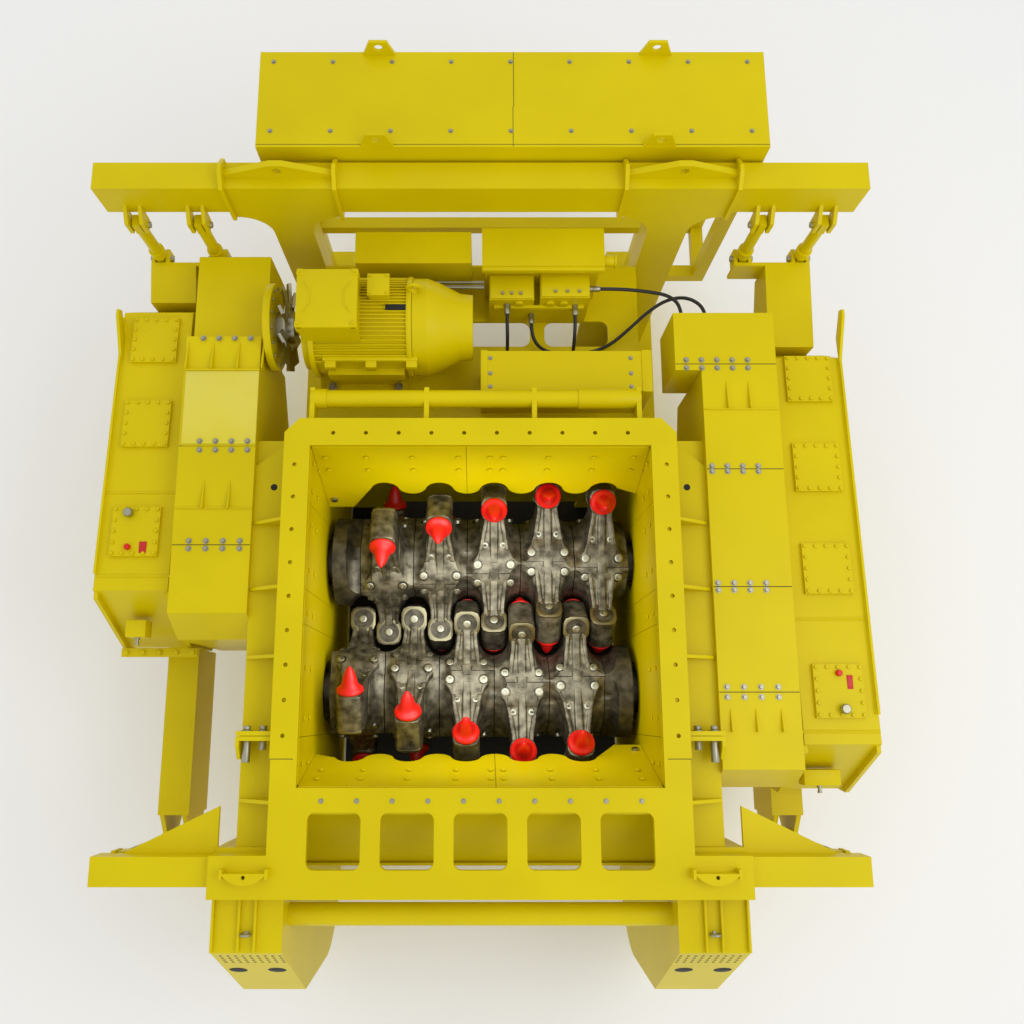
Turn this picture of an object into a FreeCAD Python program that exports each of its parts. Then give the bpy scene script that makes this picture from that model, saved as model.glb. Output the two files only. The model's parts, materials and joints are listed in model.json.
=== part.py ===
import FreeCAD, Part
import math
import os

V = FreeCAD.Vector

# Double roll crusher on skids, in millimetres, +Z up, ground at z = 0
# Every piece is drawn about the hopper: y = 0 is the middle of the feed opening
# save() then moves it so that the origin is the middle of the footprint

# Feed opening and its bolted flange
FEED_Z = 2400.0
OPEN_HALF_X = 1040.0
OPEN_HALF_Y = 1003.5
FLANGE_THICK = 40.0
FLANGE_SIDE = 157.0
FLANGE_REAR = 172.0
FLANGE_CORNER = 90.0
FLANGE_SEAM_Y = 158.0 - OPEN_HALF_Y
BOLT_PITCH = 200.0
BOLT_HOLE = 26.0
REAR_BOLTS = 10
SIDE_BOLTS = 9

# Crushing chamber walls and liners
WALL_THICK = 50.0
WALL_FACE_X = OPEN_HALF_X + 20.0
WALL_FACE_Y = OPEN_HALF_Y + 96.5
WALL_BOTTOM = 450.0
LINER_THICK = 50.0
LINER_TOP = FEED_Z - FLANGE_THICK
LINER_LOW = FEED_Z - 769.0
LINER_TOP_Y = OPEN_HALF_Y - 6.5
LINER_LOW_Y = LINER_TOP_Y - 206.0
WAVE_MID = FEED_Z - 521.0
WAVE_HEIGHT = 140.0
SIDE_LINER_THICK = 23.0
SIDE_LINER_SEAMS = [654.0, 125.0, -80.0, -728.0]
SEAM = 3.0

# Crushing rolls
ROLL_SPACING = 885.0
ROLL_Z = FEED_Z - 980.0
RING_PITCH = 360.0
RING_WIDTH = 354.0
RING_RADIUS = 304.0
RING_COUNT = 5
CORE_RADIUS = 180.0
SHAFT_RADIUS = 140.0
RUNNING_FIT = 0.05
SHAFT_HOLE = 200.0
TEETH_PER_RING = 3
RING_ANGLES = [117.0, 131.0, 145.5, 161.0, 153.5]

# Tooth of a ring: a barrel on a ribbed arm, with its cap
HEAD_RADIUS = 488.0
BARREL_HALF = 84.0
BARREL_CORNER = 48.0
BARREL_BACK = 34.0
BARREL_FRONT = 232.0
CAP_RADIUS = 86.0
CAP_LENGTH = 168.0
ARM_HALF_WIDTH = 72.0
ARM_FLANGE = 18.0
ARM_RIB_HALF = 26.0
ARM_WEB_INSET = 14.0

# Each ring is three saddles, parted in front of the tooth by a stepped gap
SPLIT_ANGLE = 79.7
SPLIT_GAP = 5.0
SPLIT_DEPTH = 14.0
TONGUE_HALF = 32.0
TONGUE_ANGLE = 6.5

# Troughs between the rings, where the other roll's teeth pass
TROUGH_RADIUS = 92.0
TROUGH_DEPTH = 68.0
TROUGH_TURNS = [2.0, 24.0, 42.0]
POCKET_RADIUS = 75.0
POCKET_TURN = 52.0

# Side frames on skid rails
FRAME_IN_X = WALL_FACE_X + 53.0
FRAME_OUT_X = FRAME_IN_X + 297.0
LEG_OUT_X = FRAME_OUT_X + 100.0
RAIL_OUT_X = FRAME_OUT_X + 70.0
RAIL_HEIGHT = 300.0
LEG_TOP_Z = FEED_Z - 160.0
DECK_FRONT_Y = -(OPEN_HALF_Y + 591.0)
LEG_TOP_Y = DECK_FRONT_Y - 309.0
NOSE_Y = LEG_TOP_Y - 406.5
SLOPE_FOOT_Z = FEED_Z - 1000.0
NOSE_RADIUS = 604.0
FRAME_FRONT_Y = -(WALL_FACE_Y + 242.0)
SHELF_Z = FEED_Z - 210.0
SHELF_THICK = 30.0
SHELF_CORNER = 220.0
GUSSET_COUNT = 5
GUSSET_PITCH = 411.0
GUSSET_THICK = 20.0
GUSSET_FIRST_Y = -(OPEN_HALF_Y + 83.5)
JOINT_BAY = 1
JOINT_Y = OPEN_HALF_Y - 284.5
BEARING_RADIUS = 310.0

# Cross tube between the legs
CROSS_TUBE_Y = LEG_TOP_Y + 166.5
CROSS_TUBE_Z = FEED_Z - 366.0
CROSS_TUBE_RADIUS = 64.0

# Front deck
DECK_WIDE_Y = DECK_FRONT_Y + 229.0
DECK_HALF_X = OPEN_HALF_X + 150.0
DECK_SKIRT = 30.0
WINDOW_WIDTH = 300.0
WINDOW_LENGTH = 306.0
WINDOW_PITCH = 410.0
WINDOW_MID_Y = -(OPEN_HALF_Y + 286.0)
WINDOW_ROUND = 45.0
DECK_LUG_LENGTH = 250.0
DECK_LUG_HEIGHT = 70.0
LUG_MID_X = LEG_OUT_X - 215.0

# Drive guards between frame and gear case
GUARD_BOTTOM = 1000.0
RIGHT_GUARD_FRONT_Y = -1028.0
RIGHT_GUARD_STEP_Y = 1548.0
RIGHT_GUARD_REAR_Y = 1940.0
LEFT_GUARD_FRONT_Y = -143.0
LEFT_GUARD_STEP_Y = 1778.0
LEFT_GUARD_REAR_Y = 2410.0
REAR_GUARD_IN_X = FRAME_IN_X + 132.0
GUARD_OUT_X = FRAME_OUT_X + 480.0
GUARD_TOP = FEED_Z - 160.0
GUARD_LOW_TOP = FEED_Z - 305.0

# Outer gear cases, hung on the roll shafts
CASE_IN_X = GUARD_OUT_X + 40.0
CASE_OUT_X = CASE_IN_X + 460.0
CASE_SHAFT_END_X = CASE_IN_X + 170.0
RIGHT_CASE_FRONT_Y = -1073.0
RIGHT_CASE_REAR_Y = 1844.0
LEFT_CASE_FRONT_Y = -152.0
LEFT_CASE_REAR_Y = 2168.0
COVER_WIDTH = 300.0
COVER_LENGTH = 320.0
COVER_THICK = 25.0
RIGHT_COVERS_Y = [1560.0, 950.0, 290.0, -460.0]
LEFT_COVERS_Y = [1830.0, 1240.0, 520.0]

# Rear beam on its posts
BASE_REAR_Y = WALL_FACE_Y + 1440.0
BEAM_HALF_X = CASE_OUT_X
BEAM_FRONT_Y = BASE_REAR_Y + 8.5
BEAM_DEPTH = 178.0
BEAM_BOTTOM = FEED_Z + 28.0
BEAM_HEIGHT = 272.0
POST_OUT_X = FRAME_OUT_X - 35.0
POST_HEAD_IN_X = FRAME_IN_X - 221.0
POST_HEAD_OUT_X = FRAME_OUT_X + 176.0

# Rear base and what stands on it
BASE_DECK_Z = 1700.0
BASE_PLATE = 30.0
MOTOR_Y = BASE_REAR_Y - 642.5
MOTOR_Z = FEED_Z - 300.0
MOTOR_RADIUS = 300.0
MOTOR_LEFT_X = -1140.0
MOTOR_RIGHT_X = -433.0
MOTOR_SHAFT_RADIUS = 50.0
DISC_RADIUS = 215.0
FAN_RADIUS = 285.0
FAN_BLADES = 10
INPUT_SHAFT_Y = WALL_FACE_Y + 477.0
HINGE_PIPE_Y = WALL_FACE_Y + 232.5
HINGE_PIPE_RADIUS = 55.0
VALVES_LEFT_X = 60.0
VALVES_REAR_Y = BASE_REAR_Y - 250.0
TANK_TOP = FEED_Z - 150.0

# Canopy
CANOPY_LEFT_X = -1360.0
CANOPY_RIGHT_X = 1750.0
CANOPY_FRONT_Y = BEAM_FRONT_Y + BEAM_DEPTH + 19.0
RAIL_REAR_Y = CANOPY_FRONT_Y + 658.0
CANOPY_TOP = FEED_Z + 432.0
CANOPY_THICK = 114.0
CANOPY_SILL_Z = 1150.0
CANOPY_LUG_X = [-625.0, 1080.0]

# Torque rods at the rear, struts and arms at the front
ROD_X = [CASE_IN_X - 120.0, CASE_IN_X + 278.0]
ROD_Y = BEAM_FRONT_Y - 53.5
ROD_TOP_Z = FEED_Z - 20.0
ROD_LOW_Z = FEED_Z - 510.0
ROD_PIN_RADIUS = 20.0
STRUT_PIN_RADIUS = 24.0
PIN_ROOM = 0.3
LUG_THICK = 24.0
OUTRIGGER_OUT_X = LEG_OUT_X + 675.0
OUTRIGGER_FRONT_Y = DECK_FRONT_Y + 57.0
OUTRIGGER_REAR_Y = OUTRIGGER_FRONT_Y + 160.0
STRUT_X = CASE_IN_X + 140.0
STRUT_Y = OUTRIGGER_REAR_Y - 40.0
STRUT_TOP_Z = FEED_Z - 280.0
STRUT_LOW_Z = FEED_Z - 1333.0
ARM_END_Y = STRUT_Y + 155.5

# Hydraulic hoses: each list runs from the valve block, in straight runs
HOSE_RADIUS = 12.0
FERRULE_RADIUS = 18.0
LEFT_DECK_HOSE = [(180, 2075, 2005), (180, 1985, 2005), (183, 1885, 1955), (184, 1838, 1840),
                  (184, 1838, 1735)]
RIGHT_DECK_HOSE = [(640, 2075, 1985), (640, 1985, 1985), (637, 1885, 1935), (634, 1815, 1825),
                   (634, 1815, 1735)]
SIDE_HOSE_UPPER = [(765, 2200, 2048), (865, 2200, 2048), (1000, 2210, 2018), (1145, 2200, 2004),
                   (1275, 2170, 2012), (1350, 2085, 2026), (1350, 1975, 2026)]
SIDE_HOSE_LOWER = [(350, 2075, 1848), (350, 1980, 1848), (384, 1905, 1800), (462, 1872, 1742),
                   (575, 1866, 1716), (700, 1870, 1713.5), (820, 1890, 1719), (930, 1940, 1750),
                   (1035, 2020, 1800), (1145, 2110, 1860), (1265, 2178, 1915), (1385, 2190, 1950),
                   (1480, 2140, 1968), (1525, 2060, 1976), (1525, 1975, 1976)]

# Middle of the footprint, seen from the hopper
ORIGIN_Y = (RAIL_REAR_Y + NOSE_Y) / 2


def box(x0, x1, y0, y1, z0, z1):
    return Part.makeBox(x1 - x0, y1 - y0, z1 - z0, V(x0, y0, z0))


def rod_x(x0, x1, y, z, radius):
    return Part.makeCylinder(radius, x1 - x0, V(x0, y, z), V(1, 0, 0))


def rod_y(x, y0, y1, z, radius):
    return Part.makeCylinder(radius, y1 - y0, V(x, y0, z), V(0, 1, 0))


def rod_z(x, y, z0, z1, radius):
    return Part.makeCylinder(radius, z1 - z0, V(x, y, z0), V(0, 0, 1))


def plate(points, direction):
    """A flat outline of points, pushed along a direction."""
    return Part.Face(Part.makePolygon(points + [points[0]])).extrude(direction)


def prism_x(outline, x0, x1):
    return plate([V(x0, y, z) for y, z in outline], V(x1 - x0, 0, 0))


def prism_y(outline, y0, y1):
    return plate([V(x, y0, z) for x, z in outline], V(0, y1 - y0, 0))


def prism_z(outline, z0, z1):
    return plate([V(x, y, z0) for x, y in outline], V(0, 0, z1 - z0))


def fuse(shapes):
    first = shapes[0]
    if len(shapes) == 1:
        return first
    return first.fuse(shapes[1:]).removeSplitter()


def mirror(shape):
    """The same piece on the other side of the machine."""
    return shape.mirror(V(0, 0, 0), V(1, 0, 0))


def rounded_hole_z(x0, x1, y0, y1, z0, z1, radius):
    """Upright box with rounded corners, used as a window cutter."""
    return fuse([
        box(x0 + radius, x1 - radius, y0, y1, z0, z1),
        box(x0, x1, y0 + radius, y1 - radius, z0, z1),
        rod_z(x0 + radius, y0 + radius, z0, z1, radius),
        rod_z(x1 - radius, y0 + radius, z0, z1, radius),
        rod_z(x0 + radius, y1 - radius, z0, z1, radius),
        rod_z(x1 - radius, y1 - radius, z0, z1, radius),
    ])


def save(name, shapes):
    """Write one node, moved to the part's own origin."""
    solids = shapes if isinstance(shapes, list) else [shapes]
    moved = [s.translated(V(0, -ORIGIN_Y, 0)) for s in solids]
    shape = moved[0] if len(moved) == 1 else Part.makeCompound(moved)
    shape.exportStep("parts/" + name + ".step")


def ferrule_y(end, seat_y):
    """Fitting between a face at seat_y and the hose end that points at it."""
    y0, y1 = sorted((end[1], seat_y))
    return rod_y(end[0], y0, y1, end[2], FERRULE_RADIUS)


def hose(name, points):
    """Round hose along straight runs, joined by the largest arcs that the runs allow."""
    v = [V(*p) for p in points]
    here = v[0]
    edges = []
    radii = []
    for before, corner, after in zip(v, v[1:], v[2:]):
        back, onward = before - corner, after - corner
        trim = 0.45 * min(back.Length, onward.Length)
        half_turn = (math.pi - back.getAngle(onward)) / 2
        radius = trim / math.tan(half_turn)
        back.normalize()
        onward.normalize()
        middle = back + onward
        middle.normalize()
        bulge = radius / math.cos(half_turn) - radius
        first, last = corner + back * trim, corner + onward * trim
        edges.append(Part.LineSegment(here, first).toShape())
        edges.append(Part.Arc(first, corner + middle * bulge, last).toShape())
        here = last
        radii.append(round(radius))
    edges.append(Part.LineSegment(here, v[-1]).toShape())
    path = Part.Wire(edges)
    section = Part.Wire(Part.makeCircle(HOSE_RADIUS, v[0], v[1] - v[0]))
    tube = path.makePipeShell([section], True, False)
    share = tube.Volume / (math.pi * HOSE_RADIUS ** 2 * path.Length)
    print(name, "length", round(path.Length), "radii", radii, "volume over section x length", round(share, 4))
    save(name, tube)


# Crushing rolls

def arm_profile(inset, x0, x1):
    """Side view of the arm, steep in front and curved behind, pushed from x0 to x1."""
    neck = HEAD_RADIUS - BARREL_HALF + 20
    mid = (neck + RING_RADIUS) / 2
    tip = BARREL_FRONT - 30 - inset
    back = BARREL_BACK - inset
    front_foot = V(0, inset - 0.9 * RING_RADIUS, 0.38 * RING_RADIUS)
    back_foot = V(0, 0.56 * RING_RADIUS - inset, 0.76 * RING_RADIUS)
    rear = Part.Arc(back_foot, V(0, back + 32, mid - 25), V(0, back - 20, neck)).toShape()
    top = Part.LineSegment(V(0, back - 20, neck), V(0, -tip, neck)).toShape()
    front = Part.Arc(V(0, -tip, neck), V(0, -tip - 12, mid - 45), front_foot).toShape()
    foot = Part.LineSegment(front_foot, back_foot).toShape()
    face = Part.Face(Part.Wire([rear, top, front, foot]))
    face.translate(V(x0, 0, 0))
    return face.extrude(V(x1 - x0, 0, 0))


def tooth_arm():
    """Arm of the tooth that stands on top of the ring: a web, two flanges and a middle rib."""
    w = ARM_HALF_WIDTH
    return [arm_profile(ARM_WEB_INSET, -w, w), arm_profile(0, -ARM_RIB_HALF, ARM_RIB_HALF),
            arm_profile(0, -w, ARM_FLANGE - w), arm_profile(0, w - ARM_FLANGE, w)]


def rounded_bar_y(half, corner, y0, y1, z):
    """Square bar with rounded corners along y."""
    k = half - corner * (1 - math.sqrt(0.5))
    c = half - corner
    points = [(half, -c), (half, c), (k, k), (c, half), (-c, half), (-k, k), (-half, c), (-half, -c),
              (-k, -k), (-c, -half), (c, -half), (k, -k)]
    v = [V(x, y0, z + h) for x, h in points]
    edges = []
    for i in (0, 3, 6, 9):
        edges.append(Part.LineSegment(v[i], v[i + 1]).toShape())
        edges.append(Part.Arc(v[i + 1], v[(i + 2) % 12], v[(i + 3) % 12]).toShape())
    return Part.Face(Part.Wire(edges)).extrude(V(0, y1 - y0, 0))


def tooth_barrel():
    """Round-cornered barrel with a stepped rear end."""
    seat = BARREL_BACK - 18
    return [rounded_bar_y(BARREL_HALF, BARREL_CORNER, -BARREL_FRONT, seat, HEAD_RADIUS),
            rod_y(0, seat, BARREL_BACK, HEAD_RADIUS, BARREL_HALF - 8)]


def tooth_cap():
    """Red cap: a brim, a bell-shaped cone and a rounded point."""
    y0 = -BARREL_FRONT
    tip = CAP_LENGTH
    profile = [(0, 0), (CAP_RADIUS - 8, 0), (CAP_RADIUS, 8), (CAP_RADIUS - 2, 22),
               (0.62 * CAP_RADIUS, 38), (0.5 * CAP_RADIUS, 0.5 * tip), (0.34 * CAP_RADIUS, 0.76 * tip),
               (0.17 * CAP_RADIUS, 0.93 * tip), (0, tip)]
    outline = [V(0, y0 - h, HEAD_RADIUS + r) for r, h in profile]
    face = Part.Face(Part.makePolygon(outline + [outline[0]]))
    return face.revolve(V(0, 0, HEAD_RADIUS), V(0, 1, 0), 360)


def turned(shape, angle):
    """A copy turned about the roll's axis."""
    copy = shape.copy()
    copy.rotate(V(0, 0, 0), V(1, 0, 0), angle)
    return copy


def tooth_turns(arm_angle):
    """Turns from the top of the ring to each of its teeth."""
    return [90 - arm_angle + k * 360.0 / TEETH_PER_RING for k in range(TEETH_PER_RING)]


def troughs(arm_angle):
    """Cutters for the hollows between two rings, in line with one ring's teeth."""
    away = RING_RADIUS - TROUGH_DEPTH
    made = []
    for turn in tooth_turns(arm_angle):
        for ahead in TROUGH_TURNS:
            bar = rod_y(0, -RING_RADIUS, RING_RADIUS, away + TROUGH_RADIUS, TROUGH_RADIUS)
            made.append(turned(bar, turn + ahead))
        pocket = Part.makeSphere(POCKET_RADIUS, V(0, 0, away + POCKET_RADIUS))
        made.append(turned(pocket, turn + POCKET_TURN))
    return made


def split_lines(arm_angle):
    """Cutters for the stepped gaps between the saddles."""
    half = RING_WIDTH / 2
    gap = SPLIT_GAP / 2
    low = RING_RADIUS - SPLIT_DEPTH
    made = []
    for turn in tooth_turns(arm_angle):
        for x0, x1, ahead in ((-half - 1, -TONGUE_HALF, 0), (-TONGUE_HALF, TONGUE_HALF, TONGUE_ANGLE),
                              (TONGUE_HALF, half + 1, 0)):
            made.append(turned(box(x0, x1, -gap, gap, low, RING_RADIUS + 30), turn + SPLIT_ANGLE + ahead))
    return made


def ring(arm_angle, next_angle):
    """One toothed ring about the x axis, its first tooth at arm_angle.

    The teeth of the other roll pass on its two sides: in step with this ring's own
    teeth on the left, and with the next ring's teeth on the right.
    """
    half = RING_WIDTH / 2
    body = rod_x(-half, half, 0, 0, RING_RADIUS)
    cutters = []
    for side, angle in ((-1, arm_angle), (1, next_angle)):
        for cutter in troughs(angle):
            cutter.translate(V(side * RING_PITCH / 2, 0, 0))
            cutters.append(cutter)
    cutters.append(rod_x(-half - 1, half + 1, 0, 0, CORE_RADIUS))
    body = body.cut(cutters)
    pieces = [turned(piece, turn) for piece in tooth_arm() + tooth_barrel()
              for turn in tooth_turns(arm_angle)]
    return fuse([body] + pieces).cut(split_lines(arm_angle))


def ring_caps(arm_angle):
    return [turned(tooth_cap(), turn) for turn in tooth_turns(arm_angle)]


def roll_shaft(first_angle):
    """Rear roll's shaft with its end collar: driven end left, short end right."""
    core = rod_x(-RING_COUNT * RING_PITCH / 2 - 95, RING_COUNT * RING_PITCH / 2 + 95, 0, 0, CORE_RADIUS)
    drive = rod_x(-CASE_SHAFT_END_X, 0, 0, 0, SHAFT_RADIUS)
    short = rod_x(0, FRAME_OUT_X + 40, 0, 0, SHAFT_RADIUS)
    collar_x = -(RING_COUNT + 0.5) * RING_PITCH / 2 + RING_PITCH / 4
    collar = rod_x(collar_x - RING_WIDTH / 4, collar_x + RING_WIDTH / 4, 0, 0, RING_RADIUS)
    cutters = troughs(first_angle)
    for cutter in cutters:
        cutter.translate(V(collar_x + RING_PITCH / 4, 0, 0))
    return fuse([core, drive, short, collar.cut(cutters)])


def place_roll(shape, rear):
    """Put a piece drawn for the rear roll on the rear or the front axis."""
    placed = shape.copy()
    if not rear:
        placed.rotate(V(0, 0, 0), V(0, 0, 1), 180)
    placed.translate(V(0, (1 if rear else -1) * ROLL_SPACING / 2, ROLL_Z))
    return placed


def build_roll(name, rear):
    span = (RING_COUNT + 0.5) * RING_PITCH
    caps = []
    angles = RING_ANGLES if rear else RING_ANGLES[::-1]
    save(name + "_shaft", place_roll(roll_shaft(angles[0]), rear))
    first_x = -span / 2 + RING_PITCH
    for k in range(RING_COUNT):
        at = V(first_x + k * RING_PITCH, 0, 0)
        angle, after = angles[k], angles[min(k + 1, RING_COUNT - 1)]
        piece = ring(angle, after)
        piece.translate(at)
        save(name + "_ring_" + str(k + 1), place_roll(piece, rear))
        for cap in ring_caps(angle):
            cap.translate(at)
            caps.append(place_roll(cap, rear))
    save(name + "_tooth_caps", caps)


# Side frames, housing and feed flange

def side_frame():
    """Right side frame: skid rail, front leg and the box round the bearings."""
    k = math.sqrt(0.5)
    nose_c = (NOSE_Y + NOSE_RADIUS, NOSE_RADIUS)
    leg_edges = [
        Part.makePolygon([V(0, nose_c[0], 0), V(0, FRAME_FRONT_Y, 0), V(0, FRAME_FRONT_Y, LEG_TOP_Z),
                          V(0, LEG_TOP_Y, LEG_TOP_Z), V(0, NOSE_Y, SLOPE_FOOT_Z),
                          V(0, NOSE_Y, NOSE_RADIUS)]),
        Part.Arc(V(0, NOSE_Y, NOSE_RADIUS),
                 V(0, nose_c[0] - k * NOSE_RADIUS, nose_c[1] - k * NOSE_RADIUS),
                 V(0, nose_c[0], 0)).toShape(),
    ]
    leg_face = Part.Face(Part.Wire(Part.__sortEdges__(leg_edges[0].Edges + [leg_edges[1]])))
    leg_face.translate(V(FRAME_IN_X, 0, 0))
    leg = leg_face.extrude(V(LEG_OUT_X - FRAME_IN_X, 0, 0))
    housing = box(FRAME_IN_X, FRAME_OUT_X, FRAME_FRONT_Y, WALL_FACE_Y, 0, SHELF_Z - SHELF_THICK)
    tail = RAIL_HEIGHT / 2
    rail = prism_x([(FRAME_FRONT_Y, 0), (RAIL_REAR_Y - tail, 0), (RAIL_REAR_Y, tail),
                    (RAIL_REAR_Y, RAIL_HEIGHT), (FRAME_FRONT_Y, RAIL_HEIGHT)], FRAME_IN_X, RAIL_OUT_X)
    frame = fuse([leg, housing, rail])
    bores = [rod_x(FRAME_IN_X - 1, FRAME_OUT_X + 1, s * ROLL_SPACING / 2, ROLL_Z, BEARING_RADIUS)
             for s in (-1, 1)]
    return frame.cut(bores)


def bearings():
    """Right pair of bearing housings, seated in the side frame."""
    made = []
    for s in (-1, 1):
        y = s * ROLL_SPACING / 2
        body = rod_x(FRAME_IN_X, FRAME_OUT_X, y, ROLL_Z, BEARING_RADIUS)
        made.append(body.cut(rod_x(FRAME_IN_X - 1, FRAME_OUT_X + 1, y, ROLL_Z, SHAFT_RADIUS + RUNNING_FIT)))
    return made


def chamber_side_wall():
    wall = box(WALL_FACE_X, FRAME_IN_X, -WALL_FACE_Y - WALL_THICK, WALL_FACE_Y + WALL_THICK,
               WALL_BOTTOM, FEED_Z - FLANGE_THICK)
    holes = [rod_x(WALL_FACE_X - 1, FRAME_IN_X + 1, s * ROLL_SPACING / 2, ROLL_Z, SHAFT_HOLE)
             for s in (-1, 1)]
    return wall.cut(holes)


def feed_flange():
    x = OPEN_HALF_X + FLANGE_SIDE
    y = OPEN_HALF_Y + FLANGE_REAR
    c = FLANGE_CORNER
    low = FEED_Z - FLANGE_THICK
    body = prism_z([(-x, FLANGE_SEAM_Y), (x, FLANGE_SEAM_Y), (x, y - c), (x - c, y),
                    (c - x, y), (-x, y - c)], low, FEED_Z)
    tools = [box(-OPEN_HALF_X, OPEN_HALF_X, -OPEN_HALF_Y, OPEN_HALF_Y, low - 1, FEED_Z + 1)]
    hole_y = OPEN_HALF_Y + FLANGE_REAR / 2 - 8
    for k in range(REAR_BOLTS):
        hx = (k - (REAR_BOLTS - 1) / 2) * BOLT_PITCH
        tools.append(rod_z(hx, hole_y, low - 1, FEED_Z + 1, BOLT_HOLE / 2))
    for side in (-1, 1):
        hx = side * (OPEN_HALF_X + 88)
        for k in range(SIDE_BOLTS):
            tools.append(rod_z(hx, hole_y - (k + 1) * BOLT_PITCH, low - 1, FEED_Z + 1, BOLT_HOLE / 2))
    return body.cut(tools)


def front_deck():
    low = FEED_Z - FLANGE_THICK
    n = DECK_HALF_X
    w = LEG_OUT_X
    top = prism_z([(-n, FLANGE_SEAM_Y), (n, FLANGE_SEAM_Y), (n, DECK_WIDE_Y), (w, DECK_WIDE_Y),
                   (w, DECK_FRONT_Y), (-w, DECK_FRONT_Y), (-w, DECK_WIDE_Y), (-n, DECK_WIDE_Y)],
                  low, FEED_Z)
    tools = [box(-OPEN_HALF_X, OPEN_HALF_X, -OPEN_HALF_Y, OPEN_HALF_Y, low - 1, FEED_Z + 1)]
    for k in range(-2, 3):
        mid = k * WINDOW_PITCH
        tools.append(rounded_hole_z(mid - WINDOW_WIDTH / 2, mid + WINDOW_WIDTH / 2,
                                    WINDOW_MID_Y - WINDOW_LENGTH / 2, WINDOW_MID_Y + WINDOW_LENGTH / 2,
                                    low - 1, FEED_Z + 1, WINDOW_ROUND))
    skirt_t = DECK_SKIRT
    skirts = [box(-w, w, DECK_FRONT_Y, DECK_FRONT_Y + skirt_t, LEG_TOP_Z, low)]
    for side in (-1, 1):
        skirts.append(box(min(side * w, side * (w - skirt_t)), max(side * w, side * (w - skirt_t)),
                          DECK_FRONT_Y, DECK_WIDE_Y, LEG_TOP_Z, low))
        skirts.append(box(min(side * w, side * FRAME_IN_X), max(side * w, side * FRAME_IN_X),
                          DECK_WIDE_Y - skirt_t, DECK_WIDE_Y, LEG_TOP_Z, low))
    lugs = []
    for side in (-1, 1):
        x = side * LUG_MID_X
        mid_y = DECK_FRONT_Y + 145.0
        half = DECK_LUG_LENGTH / 2
        bow = Part.Arc(V(x - half, mid_y, FEED_Z), V(x, mid_y - 62, FEED_Z), V(x + half, mid_y, FEED_Z)).toShape()
        chord = Part.LineSegment(V(x + half, mid_y, FEED_Z), V(x - half, mid_y, FEED_Z)).toShape()
        lug = Part.Face(Part.Wire([bow, chord])).extrude(V(0, 0, DECK_LUG_HEIGHT))
        lug = lug.cut(rod_z(x, mid_y - 20, FEED_Z - 1, FEED_Z + DECK_LUG_HEIGHT + 1, 11))
        ends = [box(x + e * half - 8, x + e * half + 8, mid_y - 30, mid_y + 22, FEED_Z,
                    FEED_Z + DECK_LUG_HEIGHT) for e in (-1, 1)]
        lugs.extend([lug] + ends)
    return fuse([top.cut(tools)] + skirts + lugs)


def frame_joint():
    """Bolted flanges that join the right side frame's two halves, beside the feed flange."""
    x0, x1 = FRAME_IN_X + 84, FRAME_OUT_X
    y = -JOINT_Y
    top = FEED_Z - 60
    rear = box(x0, x1, y, y + 26, SHELF_Z, top)
    front = box(x0, x1, y - 29, y - 3, SHELF_Z, top)
    web = box(x0, x1, y - 4, y + 1, SHELF_Z, SHELF_Z + 60)
    cheek = prism_x([(y - 29, SHELF_Z), (y - 29, top), (y - 60, top), (y - 135, SHELF_Z + 90),
                     (y - 135, SHELF_Z)], x1 - 20, x1)
    return [rear, front, web, cheek]


def side_shelf():
    """Right shelf beside the flange, with its gussets."""
    low = SHELF_Z - SHELF_THICK
    shelf = prism_z([(FRAME_IN_X, FRAME_FRONT_Y), (FRAME_OUT_X, FRAME_FRONT_Y), (FRAME_OUT_X, WALL_FACE_Y + WALL_THICK - SHELF_CORNER),
                     (FRAME_IN_X, WALL_FACE_Y + WALL_THICK)], low, SHELF_Z)
    under = FEED_Z - FLANGE_THICK
    edge = OPEN_HALF_X + FLANGE_SIDE
    pieces = [shelf]
    pieces.extend(frame_joint())
    for k in range(GUSSET_COUNT):
        if k == JOINT_BAY:
            continue
        y = GUSSET_FIRST_Y + k * GUSSET_PITCH
        pieces.append(prism_y([(FRAME_IN_X, SHELF_Z), (FRAME_OUT_X - 5, SHELF_Z),
                               (FRAME_OUT_X - 5, SHELF_Z + 15), (edge, under), (FRAME_IN_X, under)],
                              y - GUSSET_THICK / 2, y + GUSSET_THICK / 2))
    return fuse(pieces)


def liner_face(half):
    """Front view of the rear liner: a lower edge that waves over the teeth, low beside the collar."""
    quarter = RING_PITCH / 4
    first_x = -(RING_COUNT + 0.5) * RING_PITCH / 2 + RING_PITCH
    low, high = WAVE_MID - WAVE_HEIGHT / 2, WAVE_MID + WAVE_HEIGHT / 2
    edges = []
    for k in range(RING_COUNT):
        x = first_x + k * RING_PITCH
        edges.append(Part.Arc(V(x - quarter, 0, WAVE_MID), V(x, 0, high),
                              V(x + quarter, 0, WAVE_MID)).toShape())
        if k < RING_COUNT - 1:
            edges.append(Part.Arc(V(x + quarter, 0, WAVE_MID), V(x + 2 * quarter, 0, low),
                                  V(x + 3 * quarter, 0, WAVE_MID)).toShape())
    foot_x = first_x - 235.0
    rest = [(first_x + (RING_COUNT - 1) * RING_PITCH + quarter, WAVE_MID), (half, low), (half, LINER_TOP),
            (-half, LINER_TOP), (-half, LINER_LOW), (foot_x, LINER_LOW), (first_x - quarter, WAVE_MID)]
    outline = Part.makePolygon([V(x, 0, z) for x, z in rest])
    return Part.Face(Part.Wire(Part.__sortEdges__(edges + outline.Edges)))


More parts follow.
